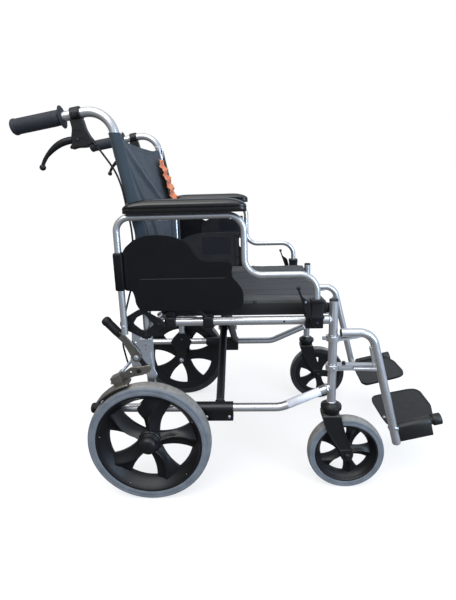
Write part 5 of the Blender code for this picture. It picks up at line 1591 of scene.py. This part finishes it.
def make_world():
    """White where the camera looks past the object, and a soft darker studio in reflections."""
    bpy.context.scene.view_settings.view_transform = "Standard"
    world = bpy.data.worlds.new("studio")
    bpy.context.scene.world = world
    world.use_nodes = True
    tree = world.node_tree
    tree.nodes.clear()
    add = tree.nodes.new
    output, mix, seen = add("ShaderNodeOutputWorld"), add("ShaderNodeMixShader"), add("ShaderNodeLightPath")
    backdrop, studio = add("ShaderNodeBackground"), add("ShaderNodeBackground")
    backdrop.inputs[0].default_value = (1, 1, 1, 1)
    backdrop.inputs[1].default_value = 1.0
    coordinates, split, ramp = add("ShaderNodeTexCoord"), add("ShaderNodeSeparateXYZ"), add("ShaderNodeValToRGB")
    height = add("ShaderNodeMapRange")
    height.inputs["From Min"].default_value = -1.0
    tree.links.new(coordinates.outputs["Generated"], split.inputs[0])
    tree.links.new(split.outputs[2], height.inputs["Value"])
    tree.links.new(height.outputs[0], ramp.inputs[0])
    stops = ramp.color_ramp.elements
    stops[0].position, stops[0].color = 0.0, (0.22, 0.19, 0.16, 1)
    stops[1].position, stops[1].color = 1.0, (0.95, 0.95, 0.95, 1)
    for place, tone in ((0.26, (0.34, 0.34, 0.35, 1)), (0.46, (0.58, 0.61, 0.66, 1)), (0.54, (0.70, 0.73, 0.78, 1)),
                        (0.75, (0.82, 0.85, 0.90, 1))):
        stops.new(place).color = tone
    sideways, tint = add("ShaderNodeMapRange"), add("ShaderNodeMix")
    sideways.inputs["From Min"].default_value = -1.0
    tree.links.new(split.outputs[0], sideways.inputs["Value"])
    tint.data_type = "RGBA"
    tint.inputs[6].default_value = (0.58, 0.55, 0.52, 1)
    tint.inputs[7].default_value = (1.12, 1.24, 1.40, 1)
    tree.links.new(sideways.outputs[0], tint.inputs[0])
    tinted = add("ShaderNodeMix")
    tinted.data_type, tinted.blend_type = "RGBA", "MULTIPLY"
    tinted.inputs[0].default_value = 1.0
    tree.links.new(ramp.outputs[0], tinted.inputs[6])
    tree.links.new(tint.outputs[2], tinted.inputs[7])
    tree.links.new(tinted.outputs[2], studio.inputs[0])
    studio.inputs[1].default_value = 0.80
    tree.links.new(seen.outputs["Is Camera Ray"], mix.inputs[0])
    tree.links.new(studio.outputs[0], mix.inputs[1])
    tree.links.new(backdrop.outputs[0], mix.inputs[2])
    tree.links.new(mix.outputs[0], output.inputs[0])


def make_floor():
    bm = bmesh.new()
    bmesh.ops.create_grid(bm, x_segments=8, y_segments=8, size=9.0)
    floor = as_object("floor", bm)
    floor.location = (0, 0, -0.0004)
    n = Nodes("floor_look")
    n.set(Base_Color=rgb(0.30, 0.30, 0.30), Roughness=0.95, Specular_IOR_Level=0.0)
    n.set(Emission_Color=rgb(1.0, 1.0, 1.0), Emission_Strength=0.70)
    floor.data.materials.append(n.material)
    floor.visible_glossy = False
    floor.visible_diffuse = False


def make_stage():
    make_camera()
    make_world()
    make_floor()
    sun("overhead", (0.10, 0.45, -1), 2.0, 70)
    area_light("key", (-0.8, -1.9, 2.2), (0, 0, 0.5), (1.6, 1.2), 18)
    area_light("window", (2.0, -1.9, 1.0), (0, 0, 0.30), (1.0, 1.6), 46, (0.58, 0.76, 1.0))


def build():
    for builder in (
        frame_tubing, axle_bracket, frame_fittings, cane, grip, lever_housing, brake_lever, cable, arm_tubing,
        arm_pad, side_guard, cane_bracket, arm_socket, release_lever, brake_plate, parking_lever, shoe_arm,
        toggle_link, rear_wheel, rear_axle, caster_housing, caster_fork, caster_wheel, cross_brace, cross_bolt,
        cross_link, rail_cradles, legrest, footplate, back_upholstery, seat_upholstery, swing_tag,
    ):
        builder()


build()
make_stage()
